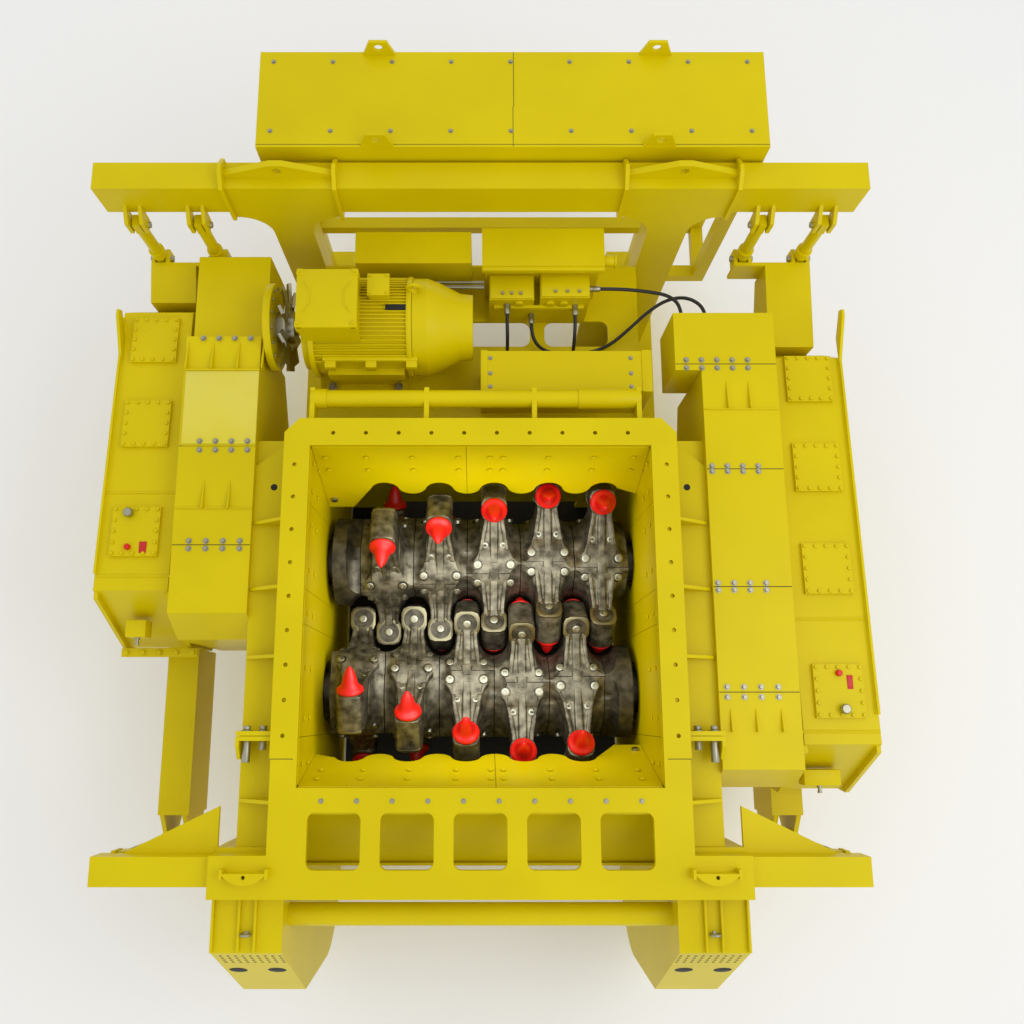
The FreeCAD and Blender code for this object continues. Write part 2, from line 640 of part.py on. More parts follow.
def rear_liner():
    """Two sloped plates with a wavy lower edge between the teeth."""
    run = (LINER_TOP_Y - LINER_LOW_Y) / (LINER_TOP - LINER_LOW)
    half = OPEN_HALF_X - 5
    foot = LINER_LOW - 60
    foot_y = LINER_LOW_Y - 60 * run
    slab = prism_x([(LINER_TOP_Y, LINER_TOP), (foot_y, foot), (foot_y + LINER_THICK, foot),
                    (LINER_TOP_Y + LINER_THICK, LINER_TOP)], -half, half)
    face = liner_face(half)
    face.translate(V(0, foot_y - 10, 0))
    slab = slab.common(face.extrude(V(0, WALL_FACE_Y - foot_y, 0)))
    slab = slab.fuse(box(-half, half, LINER_TOP_Y, WALL_FACE_Y, LINER_TOP - 60, LINER_TOP))
    seam_x = -90.0
    left = slab.common(box(-half - 1, seam_x, foot_y - 60, WALL_FACE_Y + 1, foot, FEED_Z))
    right = slab.common(box(seam_x + SEAM, half + 1, foot_y - 60, WALL_FACE_Y + 1, foot, FEED_Z))
    return [left, right]


def side_liners():
    """Right row of flat wear plates on the chamber wall."""
    edges = [OPEN_HALF_Y - 10] + SIDE_LINER_SEAMS + [10 - OPEN_HALF_Y]
    holes = [rod_x(WALL_FACE_X - 2 * SIDE_LINER_THICK, FRAME_IN_X, s * ROLL_SPACING / 2, ROLL_Z, SHAFT_HOLE)
             for s in (-1, 1)]
    made = []
    for rear, front in zip(edges[:-1], edges[1:]):
        strip = box(WALL_FACE_X - SIDE_LINER_THICK, WALL_FACE_X, front + SEAM, rear, 900, LINER_TOP)
        made.append(strip.cut(holes))
    return made


def both_sides(shapes):
    """The right-hand solids and their mirror images."""
    shapes = shapes if isinstance(shapes, list) else [shapes]
    return shapes + [mirror(s) for s in shapes]


def build_housing():
    save("right_side_frame", side_frame())
    save("left_side_frame", mirror(side_frame()))
    save("roll_bearings", both_sides(bearings()))
    save("side_chamber_walls", both_sides(chamber_side_wall()))
    save("side_shelves", both_sides(side_shelf()))
    save("side_liners", both_sides(side_liners()))
    top = FEED_Z - FLANGE_THICK
    save("rear_chamber_wall", box(-WALL_FACE_X, WALL_FACE_X, WALL_FACE_Y, WALL_FACE_Y + WALL_THICK,
                                  WALL_BOTTOM, top))
    save("front_chamber_wall", box(-WALL_FACE_X, WALL_FACE_X, -WALL_FACE_Y - WALL_THICK, -WALL_FACE_Y,
                                   WALL_BOTTOM, top))
    save("feed_flange", feed_flange())
    save("front_deck", front_deck())
    liners = rear_liner()
    save("rear_liner", liners)
    turned = [s.copy() for s in liners]
    for s in turned:
        s.rotate(V(0, 0, 0), V(0, 0, 1), 180)
    save("front_liner", turned)
    save("front_cross_tube", rod_x(-FRAME_IN_X, FRAME_IN_X, CROSS_TUBE_Y, CROSS_TUBE_Z, CROSS_TUBE_RADIUS))


# Drives on both sides

def case_crest(front_y, rear_y):
    """Front and rear end of a gear case's top face, as (y, z)."""
    return (front_y + 300.0, FEED_Z - 260.0), (rear_y - 130.0, FEED_Z - 375.0)


def gear_case(front_y, rear_y, shaft_y):
    """Right gear case: sloped ends between side plates, hung on the roll shaft."""
    crest, heel = case_crest(front_y, rear_y)
    outline = [(front_y, 1500.0), crest, heel, (rear_y, 1750.0), (rear_y, 1450.0),
               (shaft_y + 500.0, 860.0), (shaft_y - 400.0, 820.0), (front_y, 1100.0)]
    pieces = [prism_x(outline, CASE_IN_X, CASE_OUT_X)]
    for x in (CASE_IN_X, CASE_OUT_X - 25.0):
        pieces.append(prism_x([(front_y, 1400.0), (front_y - 20.0, 1560.0), (front_y + 250.0, crest[1] - 20.0),
                               (front_y + 300.0, crest[1] - 20.0)], x, x + 25.0))
    # Bracket that reaches back to the torque rods
    high = ROD_LOW_Z + 60
    back = prism_x([(rear_y, 1500.0), (rear_y, 1900.0), (ROD_Y - 75, high), (ROD_Y - 75, 1700.0)],
                   ROD_X[0] + 150, ROD_X[1] + 60)
    cross = box(ROD_X[0] - 60, ROD_X[1] + 60, ROD_Y - 75, ROD_Y - 50, 1750.0, high)
    pieces.extend([back, cross])
    for x in ROD_X:
        for off in (-60.0, 60.0 - LUG_THICK):
            lug = box(x + off, x + off + LUG_THICK, ROD_Y - 50, ROD_Y + 50, ROD_LOW_Z - 50, high)
            pieces.append(lug)
    bore = rod_x(CASE_IN_X - 1, CASE_SHAFT_END_X + 10, shaft_y, ROLL_Z, SHAFT_RADIUS + RUNNING_FIT)
    pin_holes = [rod_x(x - 70, x + 70, ROD_Y, ROD_LOW_Z, ROD_PIN_RADIUS + PIN_ROOM) for x in ROD_X]
    return fuse(pieces).cut([bore] + pin_holes)


def case_covers(front_y, rear_y, places):
    """Raised flat covers on the sloping top of the right gear case."""
    (y0, z0), (y1, z1) = case_crest(front_y, rear_y)
    slope = (z1 - z0) / (y1 - y0)
    covers = []
    for y in places:
        a, b = y - COVER_LENGTH / 2, y + COVER_LENGTH / 2
        za, zb = z0 + slope * (a - y0), z0 + slope * (b - y0)
        x = (CASE_IN_X + CASE_OUT_X - COVER_WIDTH) / 2
        covers.append(prism_x([(a, za), (b, zb), (b, zb + COVER_THICK), (a, za + COVER_THICK)],
                              x, x + COVER_WIDTH))
    return covers


def build_drives():
    half = ROLL_SPACING / 2
    right = (RIGHT_CASE_FRONT_Y, RIGHT_CASE_REAR_Y)
    left = (LEFT_CASE_FRONT_Y, LEFT_CASE_REAR_Y)
    save("right_gear_case", gear_case(*right, -half))
    save("left_gear_case", mirror(gear_case(*left, half)))
    save("right_case_covers", case_covers(*right, RIGHT_COVERS_Y))
    save("left_case_covers", [mirror(c) for c in case_covers(*left, LEFT_COVERS_Y)])
    # Drive guards: right one with a wide rear segment, left one straight
    low, top = GUARD_BOTTOM, GUARD_TOP
    y0, y1 = RIGHT_GUARD_FRONT_Y, RIGHT_GUARD_STEP_Y
    right = prism_x([(y0, low), (y0, top - 240), (y0 + 114, top), (y1, top), (y1, 1500.0), (0.0, low)],
                    FRAME_OUT_X, GUARD_OUT_X)
    clear = SHAFT_RADIUS + 20
    right = right.cut([rod_x(FRAME_OUT_X - 1, GUARD_OUT_X + 1, -half, ROLL_Z, clear),
                       rod_x(FRAME_OUT_X - 1, FRAME_OUT_X + 60, half, ROLL_Z, clear)])
    save("right_drive_guard", right)
    rear = box(REAR_GUARD_IN_X, GUARD_OUT_X, y1, RIGHT_GUARD_REAR_Y, 1800.0, top)
    sockets = [ferrule_y(end, RIGHT_GUARD_REAR_Y) for end in (SIDE_HOSE_UPPER[-1], SIDE_HOSE_LOWER[-1])]
    save("right_drive_guard_rear", fuse([rear] + sockets))
    y0, y1 = LEFT_GUARD_FRONT_Y, LEFT_GUARD_STEP_Y
    left = prism_x([(y0, low), (y0, top - 240), (y0 + 141, top), (y1, top), (y1, 1500.0), (1000.0, low)],
                   FRAME_OUT_X, GUARD_OUT_X)
    left = left.cut(rod_x(FRAME_OUT_X - 1, GUARD_OUT_X + 1, half, ROLL_Z, clear))
    save("left_drive_guard", mirror(left))
    save("left_drive_guard_rear", box(-GUARD_OUT_X, -FRAME_OUT_X, y1, LEFT_GUARD_REAR_Y, 1600.0, GUARD_LOW_TOP))


# Rear beam, posts and torque rods

def rear_beam():
    top = BEAM_BOTTOM + BEAM_HEIGHT
    rear_y = BEAM_FRONT_Y + BEAM_DEPTH
    pieces = [box(-BEAM_HALF_X, BEAM_HALF_X, BEAM_FRONT_Y, rear_y, BEAM_BOTTOM, top)]
    mid_y = BEAM_FRONT_Y + BEAM_DEPTH / 2
    for side in (-1, 1):
        for x in (POST_HEAD_IN_X, POST_HEAD_OUT_X):
            pieces.append(prism_x([(BEAM_FRONT_Y - 25, BEAM_BOTTOM - 60), (BEAM_FRONT_Y - 25, top + 25),
                                   (mid_y - 20, top + 90), (mid_y + 20, top + 90), (rear_y + 12, top + 25),
                                   (rear_y + 12, BEAM_BOTTOM - 60)],
                                  side * x - 12, side * x + 12))
        a, b = sorted((side * POST_HEAD_IN_X, side * POST_HEAD_OUT_X))
        lug = prism_y([(a, top), (b, top), (b, top + 30), ((a + b) / 2 + 40, top + 130),
                       ((a + b) / 2 - 40, top + 130), (a, top + 30)], mid_y - 20, mid_y + 20)
        pieces.append(lug.cut(rod_y((a + b) / 2, mid_y - 30, mid_y + 30, top + 75, 28)))
        for x in ROD_X:
            for off in (-60.0, 60.0 - LUG_THICK):
                x0 = side * x + off
                pieces.append(prism_x([(BEAM_FRONT_Y, BEAM_BOTTOM + 80), (ROD_Y - 45, BEAM_BOTTOM + 20),
                                       (ROD_Y - 45, ROD_TOP_Z - 45), (ROD_Y + 45, ROD_TOP_Z - 45),
                                       (BEAM_FRONT_Y, BEAM_BOTTOM)], x0, x0 + LUG_THICK))
    holes = [rod_x(side * x - 70, side * x + 70, ROD_Y, ROD_TOP_Z, ROD_PIN_RADIUS + PIN_ROOM)
             for side in (-1, 1) for x in ROD_X]
    return fuse(pieces).cut(holes)


def beam_post():
    """Right post: an upright box on the rail that flares into a wide curved head."""
    y0, y1 = BEAM_FRONT_Y, BEAM_FRONT_Y + BEAM_DEPTH
    x_in, x_out = POST_HEAD_IN_X + 12, POST_HEAD_OUT_X - 12
    r_in = FRAME_IN_X - x_in
    r_out = x_out - POST_OUT_X
    z = BEAM_BOTTOM - 60
    k = 1 - math.sqrt(0.5)
    foot = Part.makePolygon([V(FRAME_IN_X, y0, z - r_in), V(FRAME_IN_X, y0, RAIL_HEIGHT),
                             V(POST_OUT_X, y0, RAIL_HEIGHT), V(POST_OUT_X, y0, z - r_out)])
    head = Part.makePolygon([V(x_out, y0, z), V(x_out, y0, BEAM_BOTTOM), V(x_in, y0, BEAM_BOTTOM),
                             V(x_in, y0, z)])
    out_arc = Part.Arc(V(POST_OUT_X, y0, z - r_out), V(POST_OUT_X + k * r_out, y0, z - k * r_out),
                       V(x_out, y0, z)).toShape()
    in_arc = Part.Arc(V(x_in, y0, z), V(FRAME_IN_X - k * r_in, y0, z - k * r_in),
                      V(FRAME_IN_X, y0, z - r_in)).toShape()
    wire = Part.Wire(Part.__sortEdges__(foot.Edges + head.Edges + [out_arc, in_arc]))
    return Part.Face(wire).extrude(V(0, y1 - y0, 0))


def torque_rod(x):
    """Upright rod with a lock nut and flat eyes, between two brackets."""
    low, high = ROD_LOW_Z, ROD_TOP_Z
    return fuse([rod_z(x, ROD_Y, low + 60, high - 60, 38),
                 rod_z(x, ROD_Y, low + 90, low + 150, 52),
                 box(x - 24, x + 24, ROD_Y - 40, ROD_Y + 40, low - 40, low + 62),
                 box(x - 24, x + 24, ROD_Y - 40, ROD_Y + 40, high - 62, high + 40),
                 rod_x(x - 66, x + 66, ROD_Y, low, ROD_PIN_RADIUS),
                 rod_x(x - 66, x + 66, ROD_Y, high, ROD_PIN_RADIUS)])


def build_rear_beam():
    save("rear_beam", rear_beam())
    save("beam_posts", both_sides(beam_post()))
    save("torque_rods", both_sides([torque_rod(x) for x in ROD_X]))


# Rear base, motor, hydraulics and canopy

def rear_base():
    """Open-bottomed base box between the rails, with its top deck."""
    x = FRAME_IN_X
    y0 = WALL_FACE_Y + WALL_THICK
    under = BASE_DECK_Z - BASE_PLATE
    deck = box(-x, x, y0, BASE_REAR_Y, under, BASE_DECK_Z)
    slots = [rounded_hole_z(-150, 350, 1930, 2120, under - 1, BASE_DECK_Z + 1, 60),
             rounded_hole_z(450, 900, 1930, 2120, under - 1, BASE_DECK_Z + 1, 60)]
    deck = deck.cut(slots)
    walls = []
    for side in (-1, 1):
        a, b = sorted((side * x, side * (x - BASE_PLATE)))
        wall = box(a, b, y0, BASE_REAR_Y, 0, under)
        windows = [box(a - 1, b + 1, y0 + 130 + k * 620, y0 + 630 + k * 620, 450, 1350) for k in range(2)]
        walls.append(wall.cut(windows))
    for y in (y0, BASE_REAR_Y - BASE_PLATE):
        end = box(-x + BASE_PLATE, x - BASE_PLATE, y, y + BASE_PLATE, 0, under)
        walls.append(end.cut(box(-x + 300, x - 300, y - 1, y + BASE_PLATE + 1, -1, 1300)))
    fittings = [rod_z(x, y, BASE_DECK_Z, z, FERRULE_RADIUS)
                for x, y, z in (LEFT_DECK_HOSE[-1], RIGHT_DECK_HOSE[-1])]
    return fuse([deck] + walls + fittings)


def motor_body():
    left, right = MOTOR_LEFT_X, MOTOR_RIGHT_X
    y, z, r = MOTOR_Y, MOTOR_Z, MOTOR_RADIUS
    frame = rod_x(left + 60, right, y, z, r)
    shield = rod_x(left, left + 60, y, z, r - 25)
    side_lugs = [box(left + 150, right - 60, y + s * r - 40, y + s * r + 40, z - 60, z + 30) for s in (-1, 1)]
    foot_low = BASE_DECK_Z + 60
    feet = box(left + 130, right - 120, y - 270, y + 270, foot_low, z - 200)
    shaft_bore = rod_x(left - 1, left + 120, y, z, MOTOR_SHAFT_RADIUS + RUNNING_FIT)
    return fuse([frame, shield, feet] + side_lugs).cut(shaft_bore)


def motor_coupling():
    """Motor shaft end with its disc coupling and cooling fan."""
    y, z = MOTOR_Y, MOTOR_Z
    left = MOTOR_LEFT_X
    shaft = rod_x(left - 250, left + 110, y, z, MOTOR_SHAFT_RADIUS)
    disc = rod_x(left - 235, left - 195, y, z, DISC_RADIUS)
    hub = rod_x(left - 195, left - 75, y, z, 105)
    fan_ring = rod_x(left - 125, left - 115, y, z, 190)
    blades = []
    for k in range(FAN_BLADES):
        blade = box(left - 130, left - 110, y - 32, y + 32, z + 150, z + FAN_RADIUS)
        blade.rotate(V(left - 120, y, z + 200), V(0, 0, 1), 25)
        blade.rotate(V(left, y, z), V(1, 0, 0), k * 360.0 / FAN_BLADES)
        blades.append(blade)
    return fuse([shaft, disc, hub, fan_ring] + blades)


def motor_cowl():
    """Bell-shaped fan cowl at the motor's right end."""
    x, z, r = MOTOR_RIGHT_X, MOTOR_Z, MOTOR_RADIUS
    outline = [V(x, 0, 0), V(x, 0, r + 15), V(x + 90, 0, r + 15), V(x + 160, 0, r - 10),
               V(x + 300, 0, r - 80), V(x + 383, 0, r - 90), V(x + 383, 0, 0)]
    face = Part.Face(Part.makePolygon(outline + [outline[0]]))
    bell = face.revolve(V(0, 0, 0), V(1, 0, 0), 360)
    bell.translate(V(0, MOTOR_Y, z))
    return bell


def build_rear_base():
    save("rear_base", rear_base())
    save("motor_body", motor_body())
    save("motor_coupling", motor_coupling())
    save("motor_fan_cowl", motor_cowl())
    save("motor_base", box(MOTOR_LEFT_X + 80, MOTOR_RIGHT_X - 70, MOTOR_Y - 330, MOTOR_Y + 330,
                           BASE_DECK_Z, BASE_DECK_Z + 60))
    y, z = MOTOR_Y, MOTOR_Z
    top_flat = z + MOTOR_RADIUS * 0.8
    terminal = box(-1120, -760, y - 200, y + 170, top_flat, z + MOTOR_RADIUS + 170)
    save("motor_terminal_box", terminal.cut(rod_x(-1300, -600, y, z, MOTOR_RADIUS)))
    y = INPUT_SHAFT_Y
    save("input_shaft_guard", box(3, FRAME_IN_X - 1, y - 137, y + 137, BASE_DECK_Z, 2150.0))
    y = BASE_REAR_Y - 10.0
    save("hydraulic_tank", fuse([box(30, 794, VALVES_REAR_Y, y, BASE_DECK_Z, TANK_TOP - 55),
                                 box(10, 814, VALVES_REAR_Y - 25, y + 5, TANK_TOP - 55, TANK_TOP)]))
    save("hydraulic_valves", hydraulic_valves())
    hose("hose_deck_left", LEFT_DECK_HOSE)
    hose("hose_deck_right", RIGHT_DECK_HOSE)
    hose("hose_side_upper", SIDE_HOSE_UPPER)
    hose("hose_side_lower", SIDE_HOSE_LOWER)
    save("control_cabinet", box(-830, -60, VALVES_REAR_Y + 20, y + 5, BASE_DECK_Z, 2200.0))
    save("hinge_pipe", hinge_pipe())
    save("canopy_roof", canopy_roof())
    save("canopy_frame", canopy_frame())


def hydraulic_valves():
    """Valve block: a low base and two manifolds, with the hose fittings on its faces."""
    y0, y1 = VALVES_REAR_Y - 180.0, VALVES_REAR_Y
    left, right = VALVES_LEFT_X, VALVES_LEFT_X + 670.0
    pieces = [box(left, right, y0, y1, BASE_DECK_Z, 1920.0),
              box(left, left + 300, y0, y1, 1920.0, 2070.0),
              box(left + 340, right, y0, y1, 1920.0, 2100.0)]
    for end in (LEFT_DECK_HOSE[0], RIGHT_DECK_HOSE[0], SIDE_HOSE_LOWER[0]):
        pieces.append(ferrule_y(end, y0))
    x, y, z = SIDE_HOSE_UPPER[0]
    pieces.append(rod_x(right, x, y, z, FERRULE_RADIUS))
    return fuse(pieces)


def canopy_roof():
    """Roof box with four upright lifting lugs near its corners."""
    front, rear = CANOPY_FRONT_Y, RAIL_REAR_Y
    pieces = [box(CANOPY_LEFT_X, CANOPY_RIGHT_X, front, rear, CANOPY_TOP - CANOPY_THICK, CANOPY_TOP)]
    for x in CANOPY_LUG_X:
        for y in (front + 4, rear - 24):
            a, b = x - 100, x + 100
            lug = prism_y([(a, CANOPY_TOP), (b, CANOPY_TOP), (b - 45, CANOPY_TOP + 110),
                           (a + 45, CANOPY_TOP + 110)], y, y + 20)
            pieces.append(lug.cut(rod_y(x, y - 1, y + 21, CANOPY_TOP + 62, 28)))
    return fuse(pieces)


def hinge_pipe():
    y, z, r = HINGE_PIPE_Y, FEED_Z - 100.0, HINGE_PIPE_RADIUS
    pieces = [rod_x(-1060, 1000, y, z, r)]
    for x in (-1060, -350, 320, 970):
        pieces.append(box(x, x + 30, WALL_FACE_Y + WALL_THICK, y + 60, z - 70, z + 50))
    return fuse(pieces)


def canopy_frame():
    """Legs on the rails, a low platform frame and posts up to the roof."""
    under = CANOPY_TOP - CANOPY_THICK
    half = 45.0
    ends = (CANOPY_LEFT_X + half, CANOPY_RIGHT_X - half)
    rows = (CANOPY_FRONT_Y + half, RAIL_REAR_Y - 200)
    low = CANOPY_SILL_Z
    pieces = []
    for y in rows:
        pieces.append(box(ends[0] - half, ends[1] + half, y - half, y + half, low - 2 * half, low))
        pieces.append(box(ends[0] - half, ends[1] + half, y - half, y + half, under - 2 * half, under))
        for x in ends:
            pieces.append(box(x - half, x + half, y - half, y + half, low, under - 2 * half))
        for x in (-1300.0, 1300.0):
            pieces.append(box(x - half, x + half, y - half, y + half, RAIL_HEIGHT, low - 2 * half))
    for x in ends:
        pieces.append(box(x - half, x + half, rows[0], rows[1], low - 2 * half, low))
        pieces.append(box(x - half, x + half, rows[0], rows[1], under - 2 * half, under))
    return fuse(pieces)


# Outriggers, arms and struts at the front

def outrigger():
    """Right outrigger: a box beam on the deck's end with a brace behind it."""
    beam = box(LEG_OUT_X, OUTRIGGER_OUT_X, OUTRIGGER_FRONT_Y, OUTRIGGER_REAR_Y, FEED_Z - 210, FEED_Z - 50)
    brace = prism_z([(LEG_OUT_X, OUTRIGGER_REAR_Y), (2050, OUTRIGGER_REAR_Y), (1990, OUTRIGGER_REAR_Y + 30),
                     (LEG_OUT_X, OUTRIGGER_REAR_Y + 260)], FEED_Z - 210, FEED_Z - 180)
    lugs = [box(STRUT_X + off, STRUT_X + off + 24, STRUT_Y - 50, STRUT_Y + 50, STRUT_TOP_Z - 50, FEED_Z - 210)
            for off in (-60.0, 60.0 - LUG_THICK)]
    hole = rod_x(STRUT_X - 90, STRUT_X + 90, STRUT_Y, STRUT_TOP_Z, STRUT_PIN_RADIUS + PIN_ROOM)
    return fuse([beam, brace] + lugs).cut(hole)


def strut():
    low, high = STRUT_LOW_Z, STRUT_TOP_Z
    x, y = STRUT_X, STRUT_Y
    return fuse([rod_z(x, y, low + 60, high - 60, 45), rod_z(x, y, low + 230, low + 310, 60),
                 box(x - 30, x + 30, y - 45, y + 45, low - 45, low + 62),
                 box(x - 30, x + 30, y - 45, y + 45, high - 62, high + 45),
                 rod_x(x - 100, x + 100, y, low, STRUT_PIN_RADIUS),
                 rod_x(x - 66, x + 66, y, high, STRUT_PIN_RADIUS)])


def case_arm(front_of_case):
    """Right arm: a box beam from the gear case to the fork round the strut."""
    x0, x1 = STRUT_X - 105, STRUT_X + 105
    beam = box(x0, x1, ARM_END_Y, front_of_case, 870.0, 1290.0)
    fork = [prism_x([(ARM_END_Y, 870.0), (STRUT_Y - 60, STRUT_LOW_Z - 60), (STRUT_Y - 60, STRUT_LOW_Z + 60),
                     (ARM_END_Y, 1290.0)], STRUT_X + off, STRUT_X + off + 30) for off in (-90.0, 60.0)]
    hole = rod_x(STRUT_X - 110, STRUT_X + 110, STRUT_Y, STRUT_LOW_Z, STRUT_PIN_RADIUS + PIN_ROOM)
    return fuse([beam] + fork).cut(hole)


def build_front_arms():
    save("right_outrigger", outrigger())
    save("left_outrigger", mirror(outrigger()))
    save("support_struts", both_sides(strut()))
    save("right_case_arm", case_arm(RIGHT_CASE_FRONT_Y))
    save("left_case_arm", mirror(case_arm(LEFT_CASE_FRONT_Y)))


def build_all():
    os.makedirs("parts", exist_ok=True)
    build_roll("rear", True)
    build_roll("front", False)
    build_housing()
    build_drives()
    build_rear_beam()
    build_rear_base()
    build_front_arms()


build_all()
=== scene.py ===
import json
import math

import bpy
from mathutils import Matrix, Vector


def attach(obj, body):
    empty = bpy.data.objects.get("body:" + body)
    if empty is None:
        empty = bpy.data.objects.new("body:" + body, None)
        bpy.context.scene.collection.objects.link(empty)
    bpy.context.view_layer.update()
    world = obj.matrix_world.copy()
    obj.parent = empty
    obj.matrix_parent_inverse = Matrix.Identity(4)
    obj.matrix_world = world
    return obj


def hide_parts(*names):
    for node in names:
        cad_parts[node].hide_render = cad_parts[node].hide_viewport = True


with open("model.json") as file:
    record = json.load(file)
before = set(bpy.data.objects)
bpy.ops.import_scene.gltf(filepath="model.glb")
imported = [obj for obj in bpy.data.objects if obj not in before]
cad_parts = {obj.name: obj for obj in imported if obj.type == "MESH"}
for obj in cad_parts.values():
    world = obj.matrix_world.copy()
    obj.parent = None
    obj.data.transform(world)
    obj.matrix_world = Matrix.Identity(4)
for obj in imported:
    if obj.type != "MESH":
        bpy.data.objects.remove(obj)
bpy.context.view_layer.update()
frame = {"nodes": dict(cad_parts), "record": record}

# %% [markdown]
# # A double roll crusher, dressed in Blender
# The machine stands on two skids. Rock falls into the square opening on top
# and two rolls with fifteen teeth each break it. The CAD model gives every main
# form in its place, so this file adds the finishes and the small parts.
# Places are written in millimetres about the middle of the feed opening, as a
# drawing gives them, and one function turns them into Blender's metres.

HOPPER_Y = 546.75
FEED_Z = 2400.0


def mm(x, y, z):
    """A point about the feed opening, in millimetres, as metres in the frame."""
    return Vector((x, y - HOPPER_Y, z)) / 1000


# %% [markdown]
# ## The camera
# The photograph was taken from nearly straight above with a wide lens. Its
# vanishing points give the tilt of about twelve degrees and the lens, and the
# pitch of the flange holes gives the height.

# %% Camera
camera_data = bpy.data.cameras.new("photo_camera")
camera = bpy.data.objects.new("photo_camera", camera_data)
bpy.context.scene.collection.objects.link(camera)
camera.location = (0, -1.14925, 7.8326)
camera.rotation_euler = (math.radians(12.337), 0, 0)
camera_data.lens = 32.632
camera_data.sensor_width = 36
camera_data.shift_x = 0.03076
camera_data.clip_end = 200
bpy.context.scene.camera = camera
print("camera", tuple(round(v, 3) for v in camera.location))

# %% [markdown]
# ## Hydraulic hoses
# Four hoses leave the valve block. Each is one smooth curve through the route
# of its CAD tube, and goes back into the machine, so its real length shows.

# %% Hoses
HOSE_ROUTES = {
    "hose_deck_left": (0.424, [(180, 2075, 2005), (180, 1985, 2005), (183, 1885, 1955), (184, 1838, 1840),
                               (184, 1838, 1735)]),
    "hose_deck_right": (0.416, [(640, 2075, 1985), (640, 1985, 1985), (637, 1885, 1935), (634, 1815, 1825),
                                (634, 1815, 1735)]),
    "hose_side_upper": (0.734, [(765, 2200, 2048), (865, 2200, 2048), (1000, 2210, 2018), (1145, 2200, 2004),
                                (1275, 2170, 2012), (1350, 2085, 2026), (1350, 1975, 2026)]),
    "hose_side_lower": (1.617, [(350, 2075, 1848), (350, 1980, 1848), (384, 1905, 1800), (462, 1872, 1742),
                                (575, 1866, 1716), (700, 1870, 1713.5), (820, 1890, 1719), (930, 1940, 1750),
                                (1035, 2020, 1800), (1145, 2110, 1860), (1265, 2178, 1915),
                                (1385, 2190, 1950), (1480, 2140, 1968), (1525, 2060, 1976),
                                (1525, 1975, 1976)])}
HOSE_RADIUS = 0.012
hoses = []
for name, (length, route) in HOSE_ROUTES.items():
    curve = bpy.data.curves.new(name + "_rubber", "CURVE")
    curve.dimensions = "3D"
    spline = curve.splines.new("NURBS")
    spline.points.add(len(route) - 1)
    for point, place in zip(spline.points, route):
        point.co = (*mm(*place), 1)
        # Blender pads a curve's box by its point radius, so the radius is written here,
        # with a bevel of one metre, and the box fits the tube that is drawn.
        point.radius = HOSE_RADIUS
    spline.order_u = 3
    spline.use_endpoint_u = True
    curve.resolution_u = 10
    curve.bevel_depth = 1
    curve.bevel_resolution = 4
    curve.use_fill_caps = True
    hose = bpy.data.objects.new(name + "_rubber", curve)
    bpy.context.scene.collection.objects.link(hose)
    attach(hose, "frame")
    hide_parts(name)
    hoses.append(hose)
print("hoses", len(hoses))

# %% [markdown]
# ## Modelling by hand, in code
# Each new piece starts as a primitive and is shaped with the same operators
# that the menus call. Everything is deselected first, because an operator acts
# on all that is selected. A finished piece has its place in its mesh.

# %% Small modelling helpers


def select_only(*objects):
    """Select these objects and nothing else; the first becomes the active one."""
    bpy.ops.object.select_all(action="DESELECT")
    for obj in objects:
        obj.select_set(True)
    bpy.context.view_layer.objects.active = objects[0]


def settle(name=None):
    """Put the active object's place, turn and size into its mesh."""
    obj = bpy.context.object
    if name:
        obj.name = name
        obj.data.name = name
    bpy.ops.object.transform_apply(location=True, rotation=True, scale=True)
    return obj


def finish_with(obj, kind, **settings):
    """Add one modifier and apply it."""
    select_only(obj)
    modifier = obj.modifiers.new(kind.title(), kind)
    for key, value in settings.items():
        setattr(modifier, key, value)
    bpy.ops.object.modifier_apply(modifier=modifier.name)
    return obj


def soften(obj, width, segments=2, angle=35):
    """Round the edges a little, as a grinder or a casting does."""
    finish_with(obj, "BEVEL", width=width / 1000, segments=segments, limit_method="ANGLE",
                angle_limit=math.radians(angle), harden_normals=False)
    select_only(obj)
    bpy.ops.object.shade_smooth_by_angle(angle=math.radians(angle))
    return obj


def block(name, x0, x1, y0, y1, z0, z1, edge=3):
    """A box with softened edges between two corners, in millimetres."""
    bpy.ops.object.select_all(action="DESELECT")
    low, high = mm(x0, y0, z0), mm(x1, y1, z1)
    bpy.ops.mesh.primitive_cube_add(size=1, location=(low + high) / 2, scale=high - low)
    obj = settle(name)
    return soften(obj, edge) if edge else obj


def rod(name, start, end, radius, sides=24, edge=2):
    """A turned bar between two points, with broken edges."""
    bpy.ops.object.select_all(action="DESELECT")
    a, b = mm(*start), mm(*end)
    turn = (b - a).to_track_quat("Z", "Y").to_euler()
    bpy.ops.mesh.primitive_cylinder_add(vertices=sides, radius=radius / 1000, depth=(b - a).length,
                                        location=(a + b) / 2, rotation=turn)
    obj = settle(name)
    return soften(obj, edge) if edge else obj


